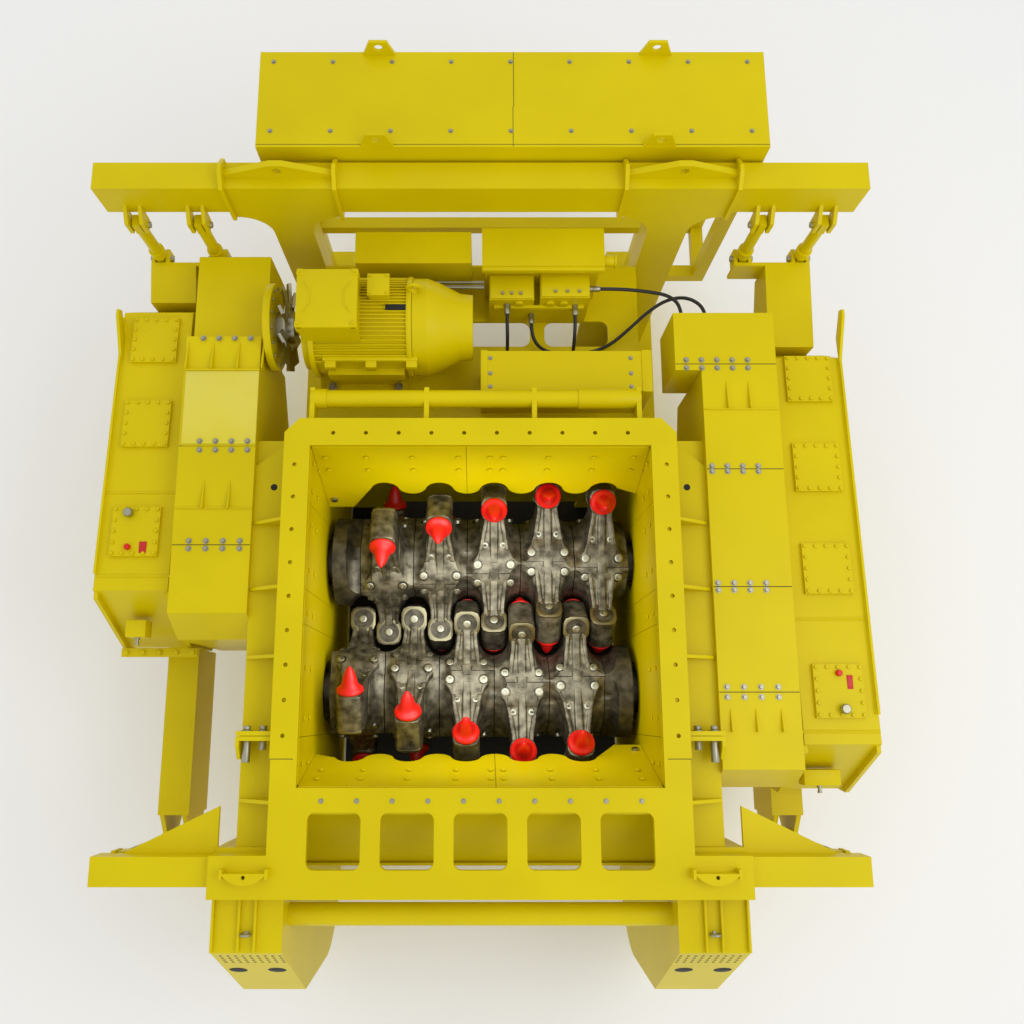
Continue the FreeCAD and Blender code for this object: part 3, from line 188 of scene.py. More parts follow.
def lathe(name, profile, steps=32):
    """Turn a profile of (radius, height) round the z axis, in millimetres."""
    bpy.ops.object.select_all(action="DESELECT")
    bpy.ops.mesh.primitive_plane_add(size=0.001)
    bpy.ops.object.mode_set(mode="EDIT")
    bpy.ops.mesh.select_mode(type="VERT")
    bpy.ops.mesh.select_all(action="SELECT")
    bpy.ops.mesh.merge(type="CENTER")
    radius, height = profile[0]
    bpy.ops.transform.translate(value=(radius / 1000, 0, height / 1000))
    for (r0, h0), (r1, h1) in zip(profile, profile[1:]):
        bpy.ops.mesh.extrude_region_move(TRANSFORM_OT_translate={
            "value": ((r1 - r0) / 1000, 0, (h1 - h0) / 1000)})
    bpy.ops.mesh.select_all(action="SELECT")
    bpy.ops.mesh.spin(steps=steps, angle=math.tau, center=(0, 0, 0), axis=(0, 0, 1))
    bpy.ops.mesh.select_all(action="SELECT")
    bpy.ops.mesh.remove_doubles(threshold=0.0001)
    bpy.ops.mesh.normals_make_consistent(inside=False)
    bpy.ops.object.mode_set(mode="OBJECT")
    obj = settle(name)
    bpy.ops.object.shade_smooth_by_angle(angle=math.radians(40))
    return obj


def loft(name, slices, corner):
    """Rounded rectangles (z, half width, front y, rear y) pulled up into one form."""
    bpy.ops.object.select_all(action="DESELECT")
    z, a, y0, y1 = slices[0]
    bpy.ops.mesh.primitive_plane_add(size=1)
    bpy.ops.object.mode_set(mode="EDIT")
    bpy.ops.transform.resize(value=(2 * a / 1000, (y1 - y0) / 1000, 1))
    bpy.ops.transform.translate(value=(0, (y0 + y1) / 2000, z / 1000))
    if corner:
        bpy.ops.mesh.bevel(offset=corner / 1000, segments=2, affect="VERTICES")
    for (z0, a0, f0, r0), (z1, a1, f1, r1) in zip(slices, slices[1:]):
        middle = (f1 + r1) / 2000
        bpy.ops.mesh.extrude_region_move(TRANSFORM_OT_translate={
            "value": (0, (f1 + r1 - f0 - r0) / 2000, (z1 - z0) / 1000)})
        bpy.ops.transform.resize(value=(a1 / a0, (r1 - f1) / (r0 - f0), 1),
                                 center_override=(0, middle, z1 / 1000))
    bpy.ops.mesh.select_all(action="SELECT")
    bpy.ops.mesh.normals_make_consistent(inside=False)
    bpy.ops.object.mode_set(mode="OBJECT")
    return settle(name)


def joined(name, *objects):
    """Several meshes as one object."""
    select_only(*objects)
    if len(objects) > 1:
        bpy.ops.object.join()
    obj = bpy.context.object
    obj.name = name
    obj.data.name = name
    return obj


def carve(obj, *tools):
    """Cut shapes out of a piece and throw the cutters away."""
    for tool in tools:
        finish_with(obj, "BOOLEAN", operation="DIFFERENCE", object=tool, solver="EXACT")
        bpy.data.objects.remove(tool)
    return obj


def copies(master, name, places, keep=False, quiet=False):
    """Copies of a master, each with its own mesh, set at the given matrices and joined."""
    made = []
    for place in places:
        twin = master.copy()
        twin.data = master.data.copy()
        twin.data.transform(place)
        bpy.context.scene.collection.objects.link(twin)
        made.append(twin)
    if not keep:
        bpy.data.objects.remove(master)
    obj = joined(name, *made)
    if not quiet:
        print(name, len(made), "copies,", len(obj.data.polygons), "faces")
    return obj


def at(x, y, z, turn=None):
    """A place for a copy whose own middle is the origin; turn is a rotation matrix."""
    return Matrix.Translation(mm(x, y, z)) @ (turn.to_4x4() if turn else Matrix.Identity(4))


def facing(direction):
    """The turn that points a piece's own z axis along a direction."""
    return Vector(direction).to_track_quat("Z", "Y").to_matrix()


# %% [markdown]
# ## Finishes
# Colours are written as sRGB hex values, read off as a paint chart gives them,
# and one function makes them linear. A pattern's scale comes from a real size
# in millimetres: a noise of scale s on Object coordinates repeats every 1/s m.

# %% Node helpers


def colour(hex_value):
    """An sRGB hex value as a linear colour."""
    parts = [int(hex_value[i:i + 2], 16) / 255 for i in (1, 3, 5)]
    return [p / 12.92 if p <= 0.04045 else ((p + 0.055) / 1.055) ** 2.4 for p in parts] + [1.0]


def node(tree, kind, settings=None, **links):
    """Add a node, set its properties and link or fill its sockets."""
    made = tree.nodes.new(kind)
    for key, value in (settings or {}).items():
        setattr(made, key, value)
    for socket, value in links.items():
        target = made.inputs[int(socket[1:])] if socket[0] == "i" and socket[1:].isdigit() \
            else made.inputs[socket.replace("_", " ")]
        if isinstance(value, bpy.types.NodeSocket):
            tree.links.new(value, target)
        else:
            target.default_value = value
    return made


def new_material(name):
    """An empty material with its shader and object coordinates."""
    material = bpy.data.materials.new(name)
    material.use_nodes = True
    tree = material.node_tree
    shader = tree.nodes["Principled BSDF"]
    return material, tree, shader, tree.nodes.new("ShaderNodeTexCoord").outputs["Object"]


def per_mm(size):
    """Noise scale for a feature of this size in millimetres."""
    return 1000.0 / size


def blend_colours(tree, factor, first, second):
    """A ramp between two hex colours, driven by a factor."""
    ramp = node(tree, "ShaderNodeValToRGB", Fac=factor)
    ramp.color_ramp.elements[0].color = colour(first)
    ramp.color_ramp.elements[1].color = colour(second)
    return ramp


# %% Enamel, cast steel, machined steel, plated bolts, plastic and rubber


def machine_enamel(name, low, high, roughness):
    """Two-pack machine enamel, sprayed: an even gloss with faint orange peel."""
    material, tree, shader, place = new_material(name)
    cloud = node(tree, "ShaderNodeTexNoise", Vector=place, Scale=per_mm(700), Detail=3.0)
    ramp = blend_colours(tree, cloud.outputs["Fac"], low, high)
    ramp.color_ramp.elements[0].position = 0.3
    ramp.color_ramp.elements[1].position = 0.7
    tree.links.new(ramp.outputs["Color"], shader.inputs["Base Color"])
    peel = node(tree, "ShaderNodeTexNoise", Vector=place, Scale=per_mm(14), Detail=2.0)
    bump = node(tree, "ShaderNodeBump", Height=peel.outputs["Fac"], Strength=0.06, Distance=0.002)
    tree.links.new(bump.outputs["Normal"], shader.inputs["Normal"])
    shader.inputs["Roughness"].default_value = roughness
    shader.inputs["Specular IOR Level"].default_value = 0.12
    shader.inputs["Coat Weight"].default_value = 0.04
    shader.inputs["Coat Roughness"].default_value = 0.2
    return material


def cast_steel(name, low, high, grain, roughness, metallic):
    """Sand-cast manganese steel, shot-blasted and oiled: mottled, dull, slightly brown."""
    material, tree, shader, place = new_material(name)
    patches = node(tree, "ShaderNodeTexNoise", Vector=place, Scale=per_mm(60), Detail=6.0)
    ramp = blend_colours(tree, patches.outputs["Fac"], low, high)
    ramp.color_ramp.elements[0].position = 0.35
    ramp.color_ramp.elements[1].position = 0.68
    tree.links.new(ramp.outputs["Color"], shader.inputs["Base Color"])
    sand = node(tree, "ShaderNodeTexNoise", Vector=place, Scale=per_mm(grain), Detail=5.0)
    bump = node(tree, "ShaderNodeBump", Height=sand.outputs["Fac"], Strength=0.35, Distance=0.004)
    tree.links.new(bump.outputs["Normal"], shader.inputs["Normal"])
    shine = node(tree, "ShaderNodeMapRange", Value=patches.outputs["Fac"], i3=roughness - 0.1,
                 i4=roughness + 0.12)
    tree.links.new(shine.outputs["Result"], shader.inputs["Roughness"])
    shader.inputs["Metallic"].default_value = metallic
    return material


def smooth_metal(name, tone, roughness, streak):
    """Turned or plated steel, with fine marks that break up the shine."""
    material, tree, shader, place = new_material(name)
    marks = node(tree, "ShaderNodeTexNoise", Vector=place, Scale=per_mm(streak), Detail=4.0)
    shine = node(tree, "ShaderNodeMapRange", Value=marks.outputs["Fac"], i3=roughness * 0.7,
                 i4=roughness * 1.4)
    tree.links.new(shine.outputs["Result"], shader.inputs["Roughness"])
    bump = node(tree, "ShaderNodeBump", Height=marks.outputs["Fac"], Strength=0.08, Distance=0.001)
    tree.links.new(bump.outputs["Normal"], shader.inputs["Normal"])
    shader.inputs["Base Color"].default_value = colour(tone)
    shader.inputs["Metallic"].default_value = 1.0
    return material


def moulded(name, tone, roughness, grain=9):
    """Moulded plastic or rubber: one colour with a soft satin skin."""
    material, tree, shader, place = new_material(name)
    skin = node(tree, "ShaderNodeTexNoise", Vector=place, Scale=per_mm(grain), Detail=3.0)
    shine = node(tree, "ShaderNodeMapRange", Value=skin.outputs["Fac"], i3=roughness - 0.07,
                 i4=roughness + 0.1)
    tree.links.new(shine.outputs["Result"], shader.inputs["Roughness"])
    bump = node(tree, "ShaderNodeBump", Height=skin.outputs["Fac"], Strength=0.08, Distance=0.002)
    tree.links.new(bump.outputs["Normal"], shader.inputs["Normal"])
    shader.inputs["Base Color"].default_value = colour(tone)
    return material


ENAMEL = machine_enamel("yellow_machine_enamel", "#D2BE00", "#DCC800", 0.38)
# A paler, glossier enamel for one raised sheet on the left drive guard.
PALE_ENAMEL = machine_enamel("pale_glossy_enamel", "#DECF3E", "#E4D862", 0.2)
TOOTH_CAST = cast_steel("cast_manganese_steel", "#4A4536", "#8C8672", 5, 0.42, 0.7)
DRUM_CAST = cast_steel("oiled_roll_steel", "#3E3A2F", "#6A6454", 8, 0.4, 0.7)
BEARING_CAST = cast_steel("grey_cast_iron", "#4A4742", "#6B6862", 6, 0.55, 0.6)
TURNED = smooth_metal("turned_steel", "#8A8468", 0.36, 6)
PLATED = smooth_metal("zinc_plated_steel", "#A8A693", 0.4, 5)
BARE = smooth_metal("bare_ground_steel", "#A9A48F", 0.32, 12)
RED_CAP = moulded("red_moulded_polyethylene", "#D8130C", 0.36)
RED_PLATE = moulded("red_enamel_plate", "#C4180F", 0.4)
HOSE = moulded("black_hose_rubber", "#1B1B1D", 0.45)
# DARK is painted shade where it stands for holes, slits, seams and the shadowed ground under the rolls; on
# the motor nameplate it is the plate's own black.
DARK = moulded("painted_shade_and_nameplate_black", "#14130F", 0.7)
print("finishes", len(bpy.data.materials))

# %% [markdown]
# ## Finishes on the CAD pieces
# Every CAD node keeps its shape and gets the finish of its material slot.

# %% Dress the CAD nodes
SLOT_FINISH = {"yellow_paint": ENAMEL, "tooth_steel": TOOTH_CAST, "shaft_steel": DRUM_CAST,
               "coupling_steel": BARE, "bearing_steel": BEARING_CAST, "red_caps": RED_CAP,
               "hose_rubber": HOSE}
slot_of = {part["node"]: part["material_slot"] for part in frame["record"]["subparts"]}
for node_name, obj in frame["nodes"].items():
    obj.data.materials.clear()
    obj.data.materials.append(SLOT_FINISH[slot_of[node_name]])
for hose in hoses:
    hose.data.materials.append(HOSE)
print("dressed", len(slot_of), "nodes and", len(hoses), "hoses")


def add(obj, material, body="frame"):
    """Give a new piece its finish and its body."""
    obj.data.materials.clear()
    obj.data.materials.append(material)
    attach(obj, body)
    return obj


# %% [markdown]
# ## The toothed rolls
# Each ring is three cast saddles bolted round the roll. Leaf-shaped troughs
# between the rings let the other roll's teeth pass, and what they leave is each
# saddle's flared skirt. The arm and the barrel above it are built from simple
# solids, then remeshed and smoothed, which gives a casting's fillets.

# %% Arm and barrel of one saddle
RING_PITCH = 360.0
RING_RADIUS = 304.0
HEAD_RADIUS = 488.0


def between(z, points):
    """A value at height z, read off (z, value) points."""
    for (z0, y0), (z1, y1) in zip(points, points[1:]):
        if z0 <= z <= z1:
            return y0 + (y1 - y0) * (z - z0) / (z1 - z0)
    return points[-1][1]


FRONT_EDGE = [(120, -274), (160, -255), (200, -238), (240, -226), (310, -216), (380, -206), (440, -200)]
REAR_EDGE = [(120, 190), (235, 170), (262, 148), (290, 120), (330, 68), (370, 40), (440, 14)]
HALF_WIDTH = [(120, 150), (160, 118), (200, 101), (240, 92), (300, 84), (350, 74), (400, 68), (440, 68)]
LEVELS = [120, 160, 200, 240, 262, 290, 310, 330, 350, 370, 400, 440]


def rib(name, x, half, front, rear):
    """An upright rib on the arm, proud of its front and rear edges."""
    made = loft(name, [(z, half, between(z, FRONT_EDGE) + front, between(z, REAR_EDGE) + rear)
                       for z in LEVELS], 0)
    made.data.transform(Matrix.Translation((x / 1000, 0, 0)))
    return made


web = loft("web", [(z, between(z, HALF_WIDTH) - 2, between(z, FRONT_EDGE) + 9, between(z, REAR_EDGE) - 10)
                   for z in LEVELS], 10)
middle_rib = rib("middle_rib", 0, 25, -8, 6)
edge_ribs = []
for side in (-1, 1):
    for low, high in zip(LEVELS[2:-1], LEVELS[3:]):
        strip = loft("edge_rib", [(z, 13, between(z, FRONT_EDGE) - 1, between(z, REAR_EDGE) + 4)
                                  for z in (low, high)], 0)
        for vertex in strip.data.vertices:
            z = low if vertex.co.z < (low + high) / 2000 else high
            vertex.co.x += side * (between(z, HALF_WIDTH) - 13) / 1000
        edge_ribs.append(strip)
barrel = loft("barrel", [(-12, 84, -84, 84), (226, 84, -84, 84)], 48)
barrel.data.transform(Matrix.Rotation(math.pi / 2, 4, "X"))
barrel.data.transform(Matrix.Translation((0, 0, HEAD_RADIUS / 1000)))
head = joined("tooth_arm", web, middle_rib, barrel, *edge_ribs)
finish_with(head, "REMESH", mode="VOXEL", voxel_size=0.0052)
finish_with(head, "SMOOTH", factor=0.5, iterations=4)
finish_with(head, "DECIMATE", ratio=0.16)
select_only(head)
bpy.ops.object.shade_smooth()
print("arm and barrel", len(head.data.polygons), "faces")

# %% [markdown]
# The big bolts sit in counterbores, two in front and two behind each tooth;
# two small ones sit halfway up the skirt.

# %% Places of a saddle's bolts
BIG_BOLTS = [(side * 110, angle) for side in (-1, 1) for angle in (68, -27)]
SMALL_BOLTS = [(side * 59, 43) for side in (-1, 1)]


def bolt_place(x, angle, radius):
    """A place on the drum, at an angle ahead of the tooth, its z axis pointing outwards."""
    return Matrix.Rotation(math.radians(angle), 4, "X") @ Matrix.Translation((x / 1000, 0, radius / 1000))


def plain_rod(name, radius, depth, sides, turn, place):
    """A bare cylinder used as a cutter, turned about x and moved, in millimetres."""
    bpy.ops.object.select_all(action="DESELECT")
    bpy.ops.mesh.primitive_cylinder_add(vertices=sides, radius=radius / 1000, depth=depth / 1000)
    tool = settle(name)
    tool.data.transform(Matrix.Rotation(math.radians(turn), 4, "X"))
    tool.data.transform(Matrix.Translation(Vector(place) / 1000))
    return tool


def around(angle):
    """The three turns of a ring's saddles, from one angle."""
    return [Matrix.Rotation(math.radians(angle + 120 * k), 4, "X") for k in range(3)]


def slot_cutter(x, length, angle, lean=0):
    """A thin radial slot across part of the ring, or a leaning one that links two of them."""
    bpy.ops.object.select_all(action="DESELECT")
    bpy.ops.mesh.primitive_cube_add(size=1, scale=(length / 1000, 0.005, 0.03))
    tool = settle("slot_cutter")
    tool.data.transform(Matrix.Rotation(math.radians(lean), 4, "Z"))
    tool.data.transform(bolt_place(x, angle, RING_RADIUS))
    return tool


def hollows():
    """Bars and a round pocket that hollow the drum beside a ring, one after another."""
    away = RING_RADIUS - 68
    made = []
    for angle in (2, 24, 42):
        bar = plain_rod("trough", 92, 430, 40, 90, (0, 0, away + 92))
        bar.data.transform(Matrix.Rotation(math.radians(angle), 4, "X"))
        made.append(bar)
    bpy.ops.object.select_all(action="DESELECT")
    bpy.ops.mesh.primitive_uv_sphere_add(segments=32, ring_count=20, radius=0.075)
    pocket = settle("pocket")
    pocket.data.transform(bolt_place(0, 52, away + 75))
    return made + [pocket]


hollow_tools = hollows()
bores = [plain_rod("bore", 36, 60, 24, 0, (0, 0, 0)) for _ in BIG_BOLTS]
for tool, (x, angle) in zip(bores, BIG_BOLTS):
    tool.data.transform(bolt_place(x, angle, 316 if angle > 0 else 305))
bolts_and_slots = joined("bores_and_slots", *bores, slot_cutter(-107, 146, 79.7), slot_cutter(107, 146, 79.7),
                         slot_cutter(0, 64, 86.2))
links = joined("links", slot_cutter(-33.5, 36, 83, 80), slot_cutter(33.5, 36, 83, 100))

# %% One ring's drum
turned_bar = lathe("drum", [(182, -177), (304, -177), (304, -60), (304, 60), (304, 177), (182, 177),
                            (182, -177)], 90)
turned_bar.data.transform(Matrix.Rotation(math.pi / 2, 4, "Y"))


def spun_strip(name, half, low, high, start, end, steps):
    """A raised strip round part of the drum, from one angle to another."""
    bpy.ops.object.select_all(action="DESELECT")
    bpy.ops.mesh.primitive_plane_add(size=1)
    bpy.ops.object.mode_set(mode="EDIT")
    bpy.ops.transform.resize(value=(2 * half / 1000, (high - low) / 1000, 1))
    bpy.ops.mesh.bevel(offset=0.008, segments=2, affect="VERTICES")
    bpy.ops.object.mode_set(mode="OBJECT")
    obj = bpy.context.object
    obj.data.transform(Matrix.Rotation(math.pi / 2, 4, "X"))
    obj.data.transform(bolt_place(0, start, (low + high) / 2))
    bpy.ops.object.mode_set(mode="EDIT")
    bpy.ops.mesh.select_all(action="SELECT")
    bpy.ops.mesh.spin(steps=steps, angle=math.radians(end - start), center=(0, 0, 0), axis=(1, 0, 0))
    bpy.ops.mesh.select_all(action="SELECT")
    bpy.ops.mesh.remove_doubles(threshold=0.0001)
    bpy.ops.mesh.normals_make_consistent(inside=False)
    bpy.ops.object.mode_set(mode="OBJECT")
    return settle(name)


skirt_rib = joined("skirt_rib", spun_strip("front_rib", 26, 290, 313, 47, 85, 8),
                   spun_strip("rear_rib", 30, 290, 311, -33, -20, 4))


def ring_drum(name, own, following):
    """Drum of a ring: hollows in step with its own teeth on the left and the next ring's on the right."""
    drum = copies(turned_bar, name, [Matrix.Identity(4)], True, True)
    for tool in hollow_tools:
        places = [Matrix.Translation((side * RING_PITCH / 2000, 0, 0)) @ turn
                  for side, angle in ((-1, own), (1, following)) for turn in around(angle)]
        carve(drum, copies(tool, "hollow", places, True, True))
    for tool in (bolts_and_slots, links):
        carve(drum, copies(tool, "slots", around(own), True, True))
    finish_with(drum, "BEVEL", width=0.003, segments=1, limit_method="ANGLE",
                angle_limit=math.radians(38))
    drum = joined(name, drum, copies(skirt_rib, "ribs", around(own), True, True))
    select_only(drum)
    bpy.ops.object.shade_smooth_by_angle(angle=math.radians(32))
    return drum


# %% [markdown]
# The barrel's rear end is machined: a rounded-square collar round a stepped
# plate with one socket screw in its middle.

# %% Barrel end, socket screws and cap


def socket_screw(name, radius, height, sides=20):
    """A socket head cap screw, its seat at the origin and its head along z."""
    bpy.ops.object.select_all(action="DESELECT")
    bpy.ops.mesh.primitive_cylinder_add(vertices=sides, radius=radius / 1000, depth=height / 1000,
                                        location=(0, 0, height / 2000))
    bpy.ops.object.mode_set(mode="EDIT")
    bpy.ops.mesh.select_mode(type="FACE")
    bpy.ops.mesh.select_all(action="DESELECT")
    bpy.ops.object.mode_set(mode="OBJECT")
    head = bpy.context.object
    for face in head.data.polygons:
        face.select = face.normal.z > 0.9
    bpy.ops.object.mode_set(mode="EDIT")
    bpy.ops.mesh.inset(thickness=radius * 0.18 / 1000)
    bpy.ops.transform.translate(value=(0, 0, radius * 0.1 / 1000))
    bpy.ops.mesh.inset(thickness=radius * 0.32 / 1000)
    bpy.ops.mesh.extrude_region_move(TRANSFORM_OT_translate={"value": (0, 0, -radius * 0.55 / 1000)})
    bpy.ops.object.mode_set(mode="OBJECT")
    settle(name)
    bpy.ops.object.shade_smooth_by_angle(angle=math.radians(30))
    return head


collar = loft("collar", [(-20, 85.5, -85.5, 85.5), (-2, 85.5, -85.5, 85.5)], 47)
soften(collar, 3, 2)
carve(collar, plain_rod("recess", 69, 60, 40, 0, (0, 0, -12)))
barrel_band = lathe("barrel_band", [(60, 222), (83, 222), (83, 232), (60, 232)], 40)
tooth_ends = joined("tooth_ends", collar, barrel_band)
tooth_plate = lathe("tooth_plate", [(0, -14), (69, -14), (69, -7), (58, -7), (56, -16), (50, -16), (47, -8),
                                    (33, -8), (31, -15), (0, -15)], 36)
for part in (tooth_ends, tooth_plate):
    part.data.transform(Matrix.Rotation(math.pi / 2, 4, "X"))
    part.data.transform(Matrix.Translation((0, 0, HEAD_RADIUS / 1000)))
big_screw = socket_screw("big_screw", 26, 20, 24)
small_screw = socket_screw("small_screw", 21, 16, 20)
screws = [copies(big_screw, "screw", [bolt_place(x, angle, 290 if angle > 0 else 278)], True, True)
          for x, angle in BIG_BOLTS]
for x, angle in SMALL_BOLTS:
    lean = Matrix.Rotation(math.radians(38), 4, "X")
    screws.append(copies(small_screw, "screw", [bolt_place(x, angle, 309) @ lean], True, True))
screws.append(copies(big_screw, "screw", [Matrix.Translation((0, 0.012, HEAD_RADIUS / 1000))
                                          @ Matrix.Rotation(-math.pi / 2, 4, "X")], True, True))
saddle_screws = joined("saddle_screws", *screws)
bpy.data.objects.remove(big_screw)
bpy.data.objects.remove(small_screw)
tooth_cap = lathe("tooth_cap", [(0, 0), (78, 0), (84, 3), (86, 10), (83, 20), (72, 29), (60, 37), (52, 50),
                                (47, 74), (41, 98), (33, 122), (24, 142), (14, 157), (6, 166), (0, 168)], 36)
tooth_cap.data.transform(Matrix.Rotation(math.pi / 2, 4, "X"))
tooth_cap.data.transform(Matrix.Translation((0, -0.232, HEAD_RADIUS / 1000)))

# %% [markdown]
# ## Fifteen saddles on each roll
# The rings are turned by a few degrees from one to the next, so that the teeth
# pass between each other. The front roll is the same roll turned end for end,
# which a half turn about the upright axis gives.

# %% Place the saddles on both rolls
FIRST_RING_X = -630.0
RING_TURNS = [-27.0, -41.0, -55.5, -71.0, -63.5]
ROLL_Z = 1420.0
HALF_SPACING = 442.5

for roll in ("rear", "front"):
    body = roll + "_roll"
    half_turn = Matrix.Identity(4) if roll == "rear" else Matrix.Rotation(math.pi, 4, "Z")
    axis = Matrix.Translation(mm(0, HALF_SPACING if roll == "rear" else -HALF_SPACING, ROLL_Z)) @ half_turn
    turns = RING_TURNS if roll == "rear" else RING_TURNS[::-1]
    every = []
    for k, turn in enumerate(turns):
        along = axis @ Matrix.Translation(((FIRST_RING_X + k * RING_PITCH) / 1000, 0, 0))
        ring = [along @ Matrix.Rotation(math.radians(turn + 120 * n), 4, "X") for n in range(3)]
        every += ring
        drum = ring_drum("%s_drum_%d" % (roll, k + 1), turn, turns[min(k + 1, 4)])
        drum.data.transform(along)
        arms = copies(head, "%s_arms_%d" % (roll, k + 1), ring, keep=True)
        cast = joined("%s_saddles_%d" % (roll, k + 1), drum, arms)
        add(cast, TOOTH_CAST, body)
        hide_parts("%s_ring_%d" % (roll, k + 1))
    add(copies(tooth_ends, roll + "_barrel_ends", every, keep=True), TURNED, body)
    add(copies(tooth_plate, roll + "_barrel_plates", every, keep=True), DRUM_CAST, body)
    add(copies(saddle_screws, roll + "_saddle_screws", every, keep=True), PLATED, body)
    caps = add(copies(tooth_cap, roll + "_red_caps", every, keep=True), RED_CAP, body)
    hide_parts(roll + "_tooth_caps")
for master in (head, turned_bar, tooth_ends, tooth_plate, saddle_screws, tooth_cap, bolts_and_slots, links,
               skirt_rib, *hollow_tools):
    bpy.data.objects.remove(master)

# %% [markdown]
# ## Bolt rows
# Guards are held by plated hexagon bolts with washers, in rows on each side of
# a seam. The gear-case covers have smaller painted bolts round their edges.

# %% Hexagon bolts


def hex_bolt(name, across, head=None, washer=True):
    """A hexagon head on a washer, its seat at the origin."""
    radius = across / 2 / math.cos(math.pi / 6)
    head = head or across * 0.55
    bpy.ops.object.select_all(action="DESELECT")
    bpy.ops.mesh.primitive_cylinder_add(vertices=6, radius=radius / 1000, depth=head / 1000,
                                        location=(0, 0, head / 2000 + 0.003))
    bolt = settle(name)
    soften(bolt, across * 0.06, 1)
    if washer:
        bpy.ops.object.select_all(action="DESELECT")
        bpy.ops.mesh.primitive_cylinder_add(vertices=16, radius=across * 0.85 / 1000, depth=0.004,
                                            location=(0, 0, 0.0015))
        ring = settle("washer")
        soften(ring, 0.8, 1)
        bolt = joined(name, bolt, ring)
    return bolt


GUARD_TOP = FEED_Z - 160
REAR_GUARD_TOP = FEED_Z - 305
CANOPY_TOP = 2832
SHEET = 9


def bolt_row(first, pitch, count, ys, z=GUARD_TOP):
    """Rows of bolts from a first x at an even pitch, one row for each y."""
    return [(first + pitch * k, y, z) for k in range(count) for y in ys]


GUARD_BOLTS = bolt_row(-1778, 101, 4, (1817,), REAR_GUARD_TOP)
GUARD_BOLTS += bolt_row(-1778, 101, 4, (1761,), GUARD_TOP + SHEET)
GUARD_BOLTS += bolt_row(-1759, 100, 4, (1073,), GUARD_TOP + SHEET) + bolt_row(-1759, 100, 4, (1018,))
GUARD_BOLTS += bolt_row(-1786, 104, 4, (439, 392))
GUARD_BOLTS += bolt_row(1315, 98, 5, (1616, 1562)) + bolt_row(1443, 96, 4, (914, 879))
GUARD_BOLTS += bolt_row(1441, 97, 4, (180, 137)) + bolt_row(1460, 101, 4, (-440, -499))
SMALL_ROWS = bolt_row(-1275, 365, 9, (2854, 3333), CANOPY_TOP) + bolt_row(-895, 200, 10, (-1074,), FEED_Z)
SMALL_ROWS += bolt_row(64, 912, 2, (1470, 1560, 1665), 2150)
add(copies(hex_bolt("guard_bolt", 22), "plated_bolts",
           [at(*place) for place in GUARD_BOLTS]), PLATED)
add(copies(hex_bolt("small_bolt", 17), "small_plated_bolts",
           [at(*place) for place in SMALL_ROWS]), PLATED)

LEFT_COVERS = [(-2160, 1830, 2062, -0.061), (-2160, 1240, 2098, -0.061), (-2160, 520, 2142, -0.061)]
RIGHT_COVERS = [(2160, 1560, 2057, -0.0507), (2160, 950, 2085, -0.0507), (2160, 290, 2115, -0.0507),
                (2160, -460, 2150, -0.0507)]
cover_bolts = []
for x, y, z, slope in LEFT_COVERS + RIGHT_COVERS:
    ring = [(dx, dy) for dx in (-132, 132) for dy in (-142, -71, 0, 71, 142)]
    ring += [(dx, dy) for dx in (-66, 0, 66) for dy in (-142, 142)]
    cover_bolts += [at(x + dx, y + dy, z + slope * dy) for dx, dy in ring]
add(copies(hex_bolt("cover_bolt", 20, 9, False), "cover_bolts", cover_bolts), ENAMEL)

# %% Bolts of the chamber liners
LINER_LEAN = 206 / 729


def on_liner(x, z, side):
    """A place on the sloped rear (1) or front (-1) liner's face, with its z axis off the face."""
    y = side * (791 + LINER_LEAN * (z - 1631))
    return at(x, y, z, facing((0, -side, LINER_LEAN)))


REAR_LINER_X = [-966, -713, -427, -139, 59, 142, 422, 705, 952]
FRONT_LINER_X = [-947, -696, -424, -145, 60, 134, 412, 685, 935]
liner_places = [on_liner(x, z, 1) for x in REAR_LINER_X for z in (2257, 2112)]
liner_places += [on_liner(x, z, -1) for x in FRONT_LINER_X for z in (2257, 2112)]
add(copies(hex_bolt("liner_bolt", 30, 12, False), "liner_bolts", liner_places), ENAMEL)
side_places = [at(side * 1037, y, z, facing((-side, 0, 0))) for side in (-1, 1)
               for y in (-880, -620, -330, -10, 250, 530, 740, 920) for z in (2280, 2100)]
add(copies(hex_bolt("side_liner_bolt", 26, 9, False), "side_liner_bolts", side_places), ENAMEL)
add(copies(socket_screw("foot_screw", 24, 14), "liner_foot_screws",
           [on_liner(-985, 1736, 1), on_liner(985, 1736, -1)]), PLATED)

# %% [markdown]
# ## Plate work
# Small plates are drawn as an outline and pushed to their thickness.

# %% Outline plates


def prism(name, points, push, edge=2):
    """A flat outline, given point by point, pushed along a direction; all in millimetres."""
    bpy.ops.object.select_all(action="DESELECT")
    bpy.ops.mesh.primitive_plane_add(size=0.001)
    bpy.ops.object.mode_set(mode="EDIT")
    bpy.ops.mesh.select_mode(type="VERT")
    bpy.ops.mesh.select_all(action="SELECT")
    bpy.ops.mesh.merge(type="CENTER")
    corners = [mm(*p) for p in points]
    bpy.ops.transform.translate(value=corners[0])
    for before, after in zip(corners, corners[1:]):
        bpy.ops.mesh.extrude_region_move(TRANSFORM_OT_translate={"value": after - before})
    bpy.ops.mesh.select_all(action="SELECT")
    bpy.ops.mesh.edge_face_add()
    bpy.ops.mesh.extrude_region_move(TRANSFORM_OT_translate={"value": Vector(push) / 1000})
    bpy.ops.mesh.select_all(action="SELECT")
    bpy.ops.mesh.normals_make_consistent(inside=False)
    bpy.ops.object.mode_set(mode="OBJECT")
    obj = settle(name)
    return soften(obj, edge) if edge else obj


# %% Fins, sheets and seams of the drive guards


def fins_at(xs, low_end, tip, height):
    """Upright triangular fins that rise from a tip to their full height."""
    return [prism("fin", [(x, low_end, GUARD_TOP), (x, tip, GUARD_TOP), (x, low_end, GUARD_TOP + height)],
                  (FIN, 0, 0)) for x in xs]


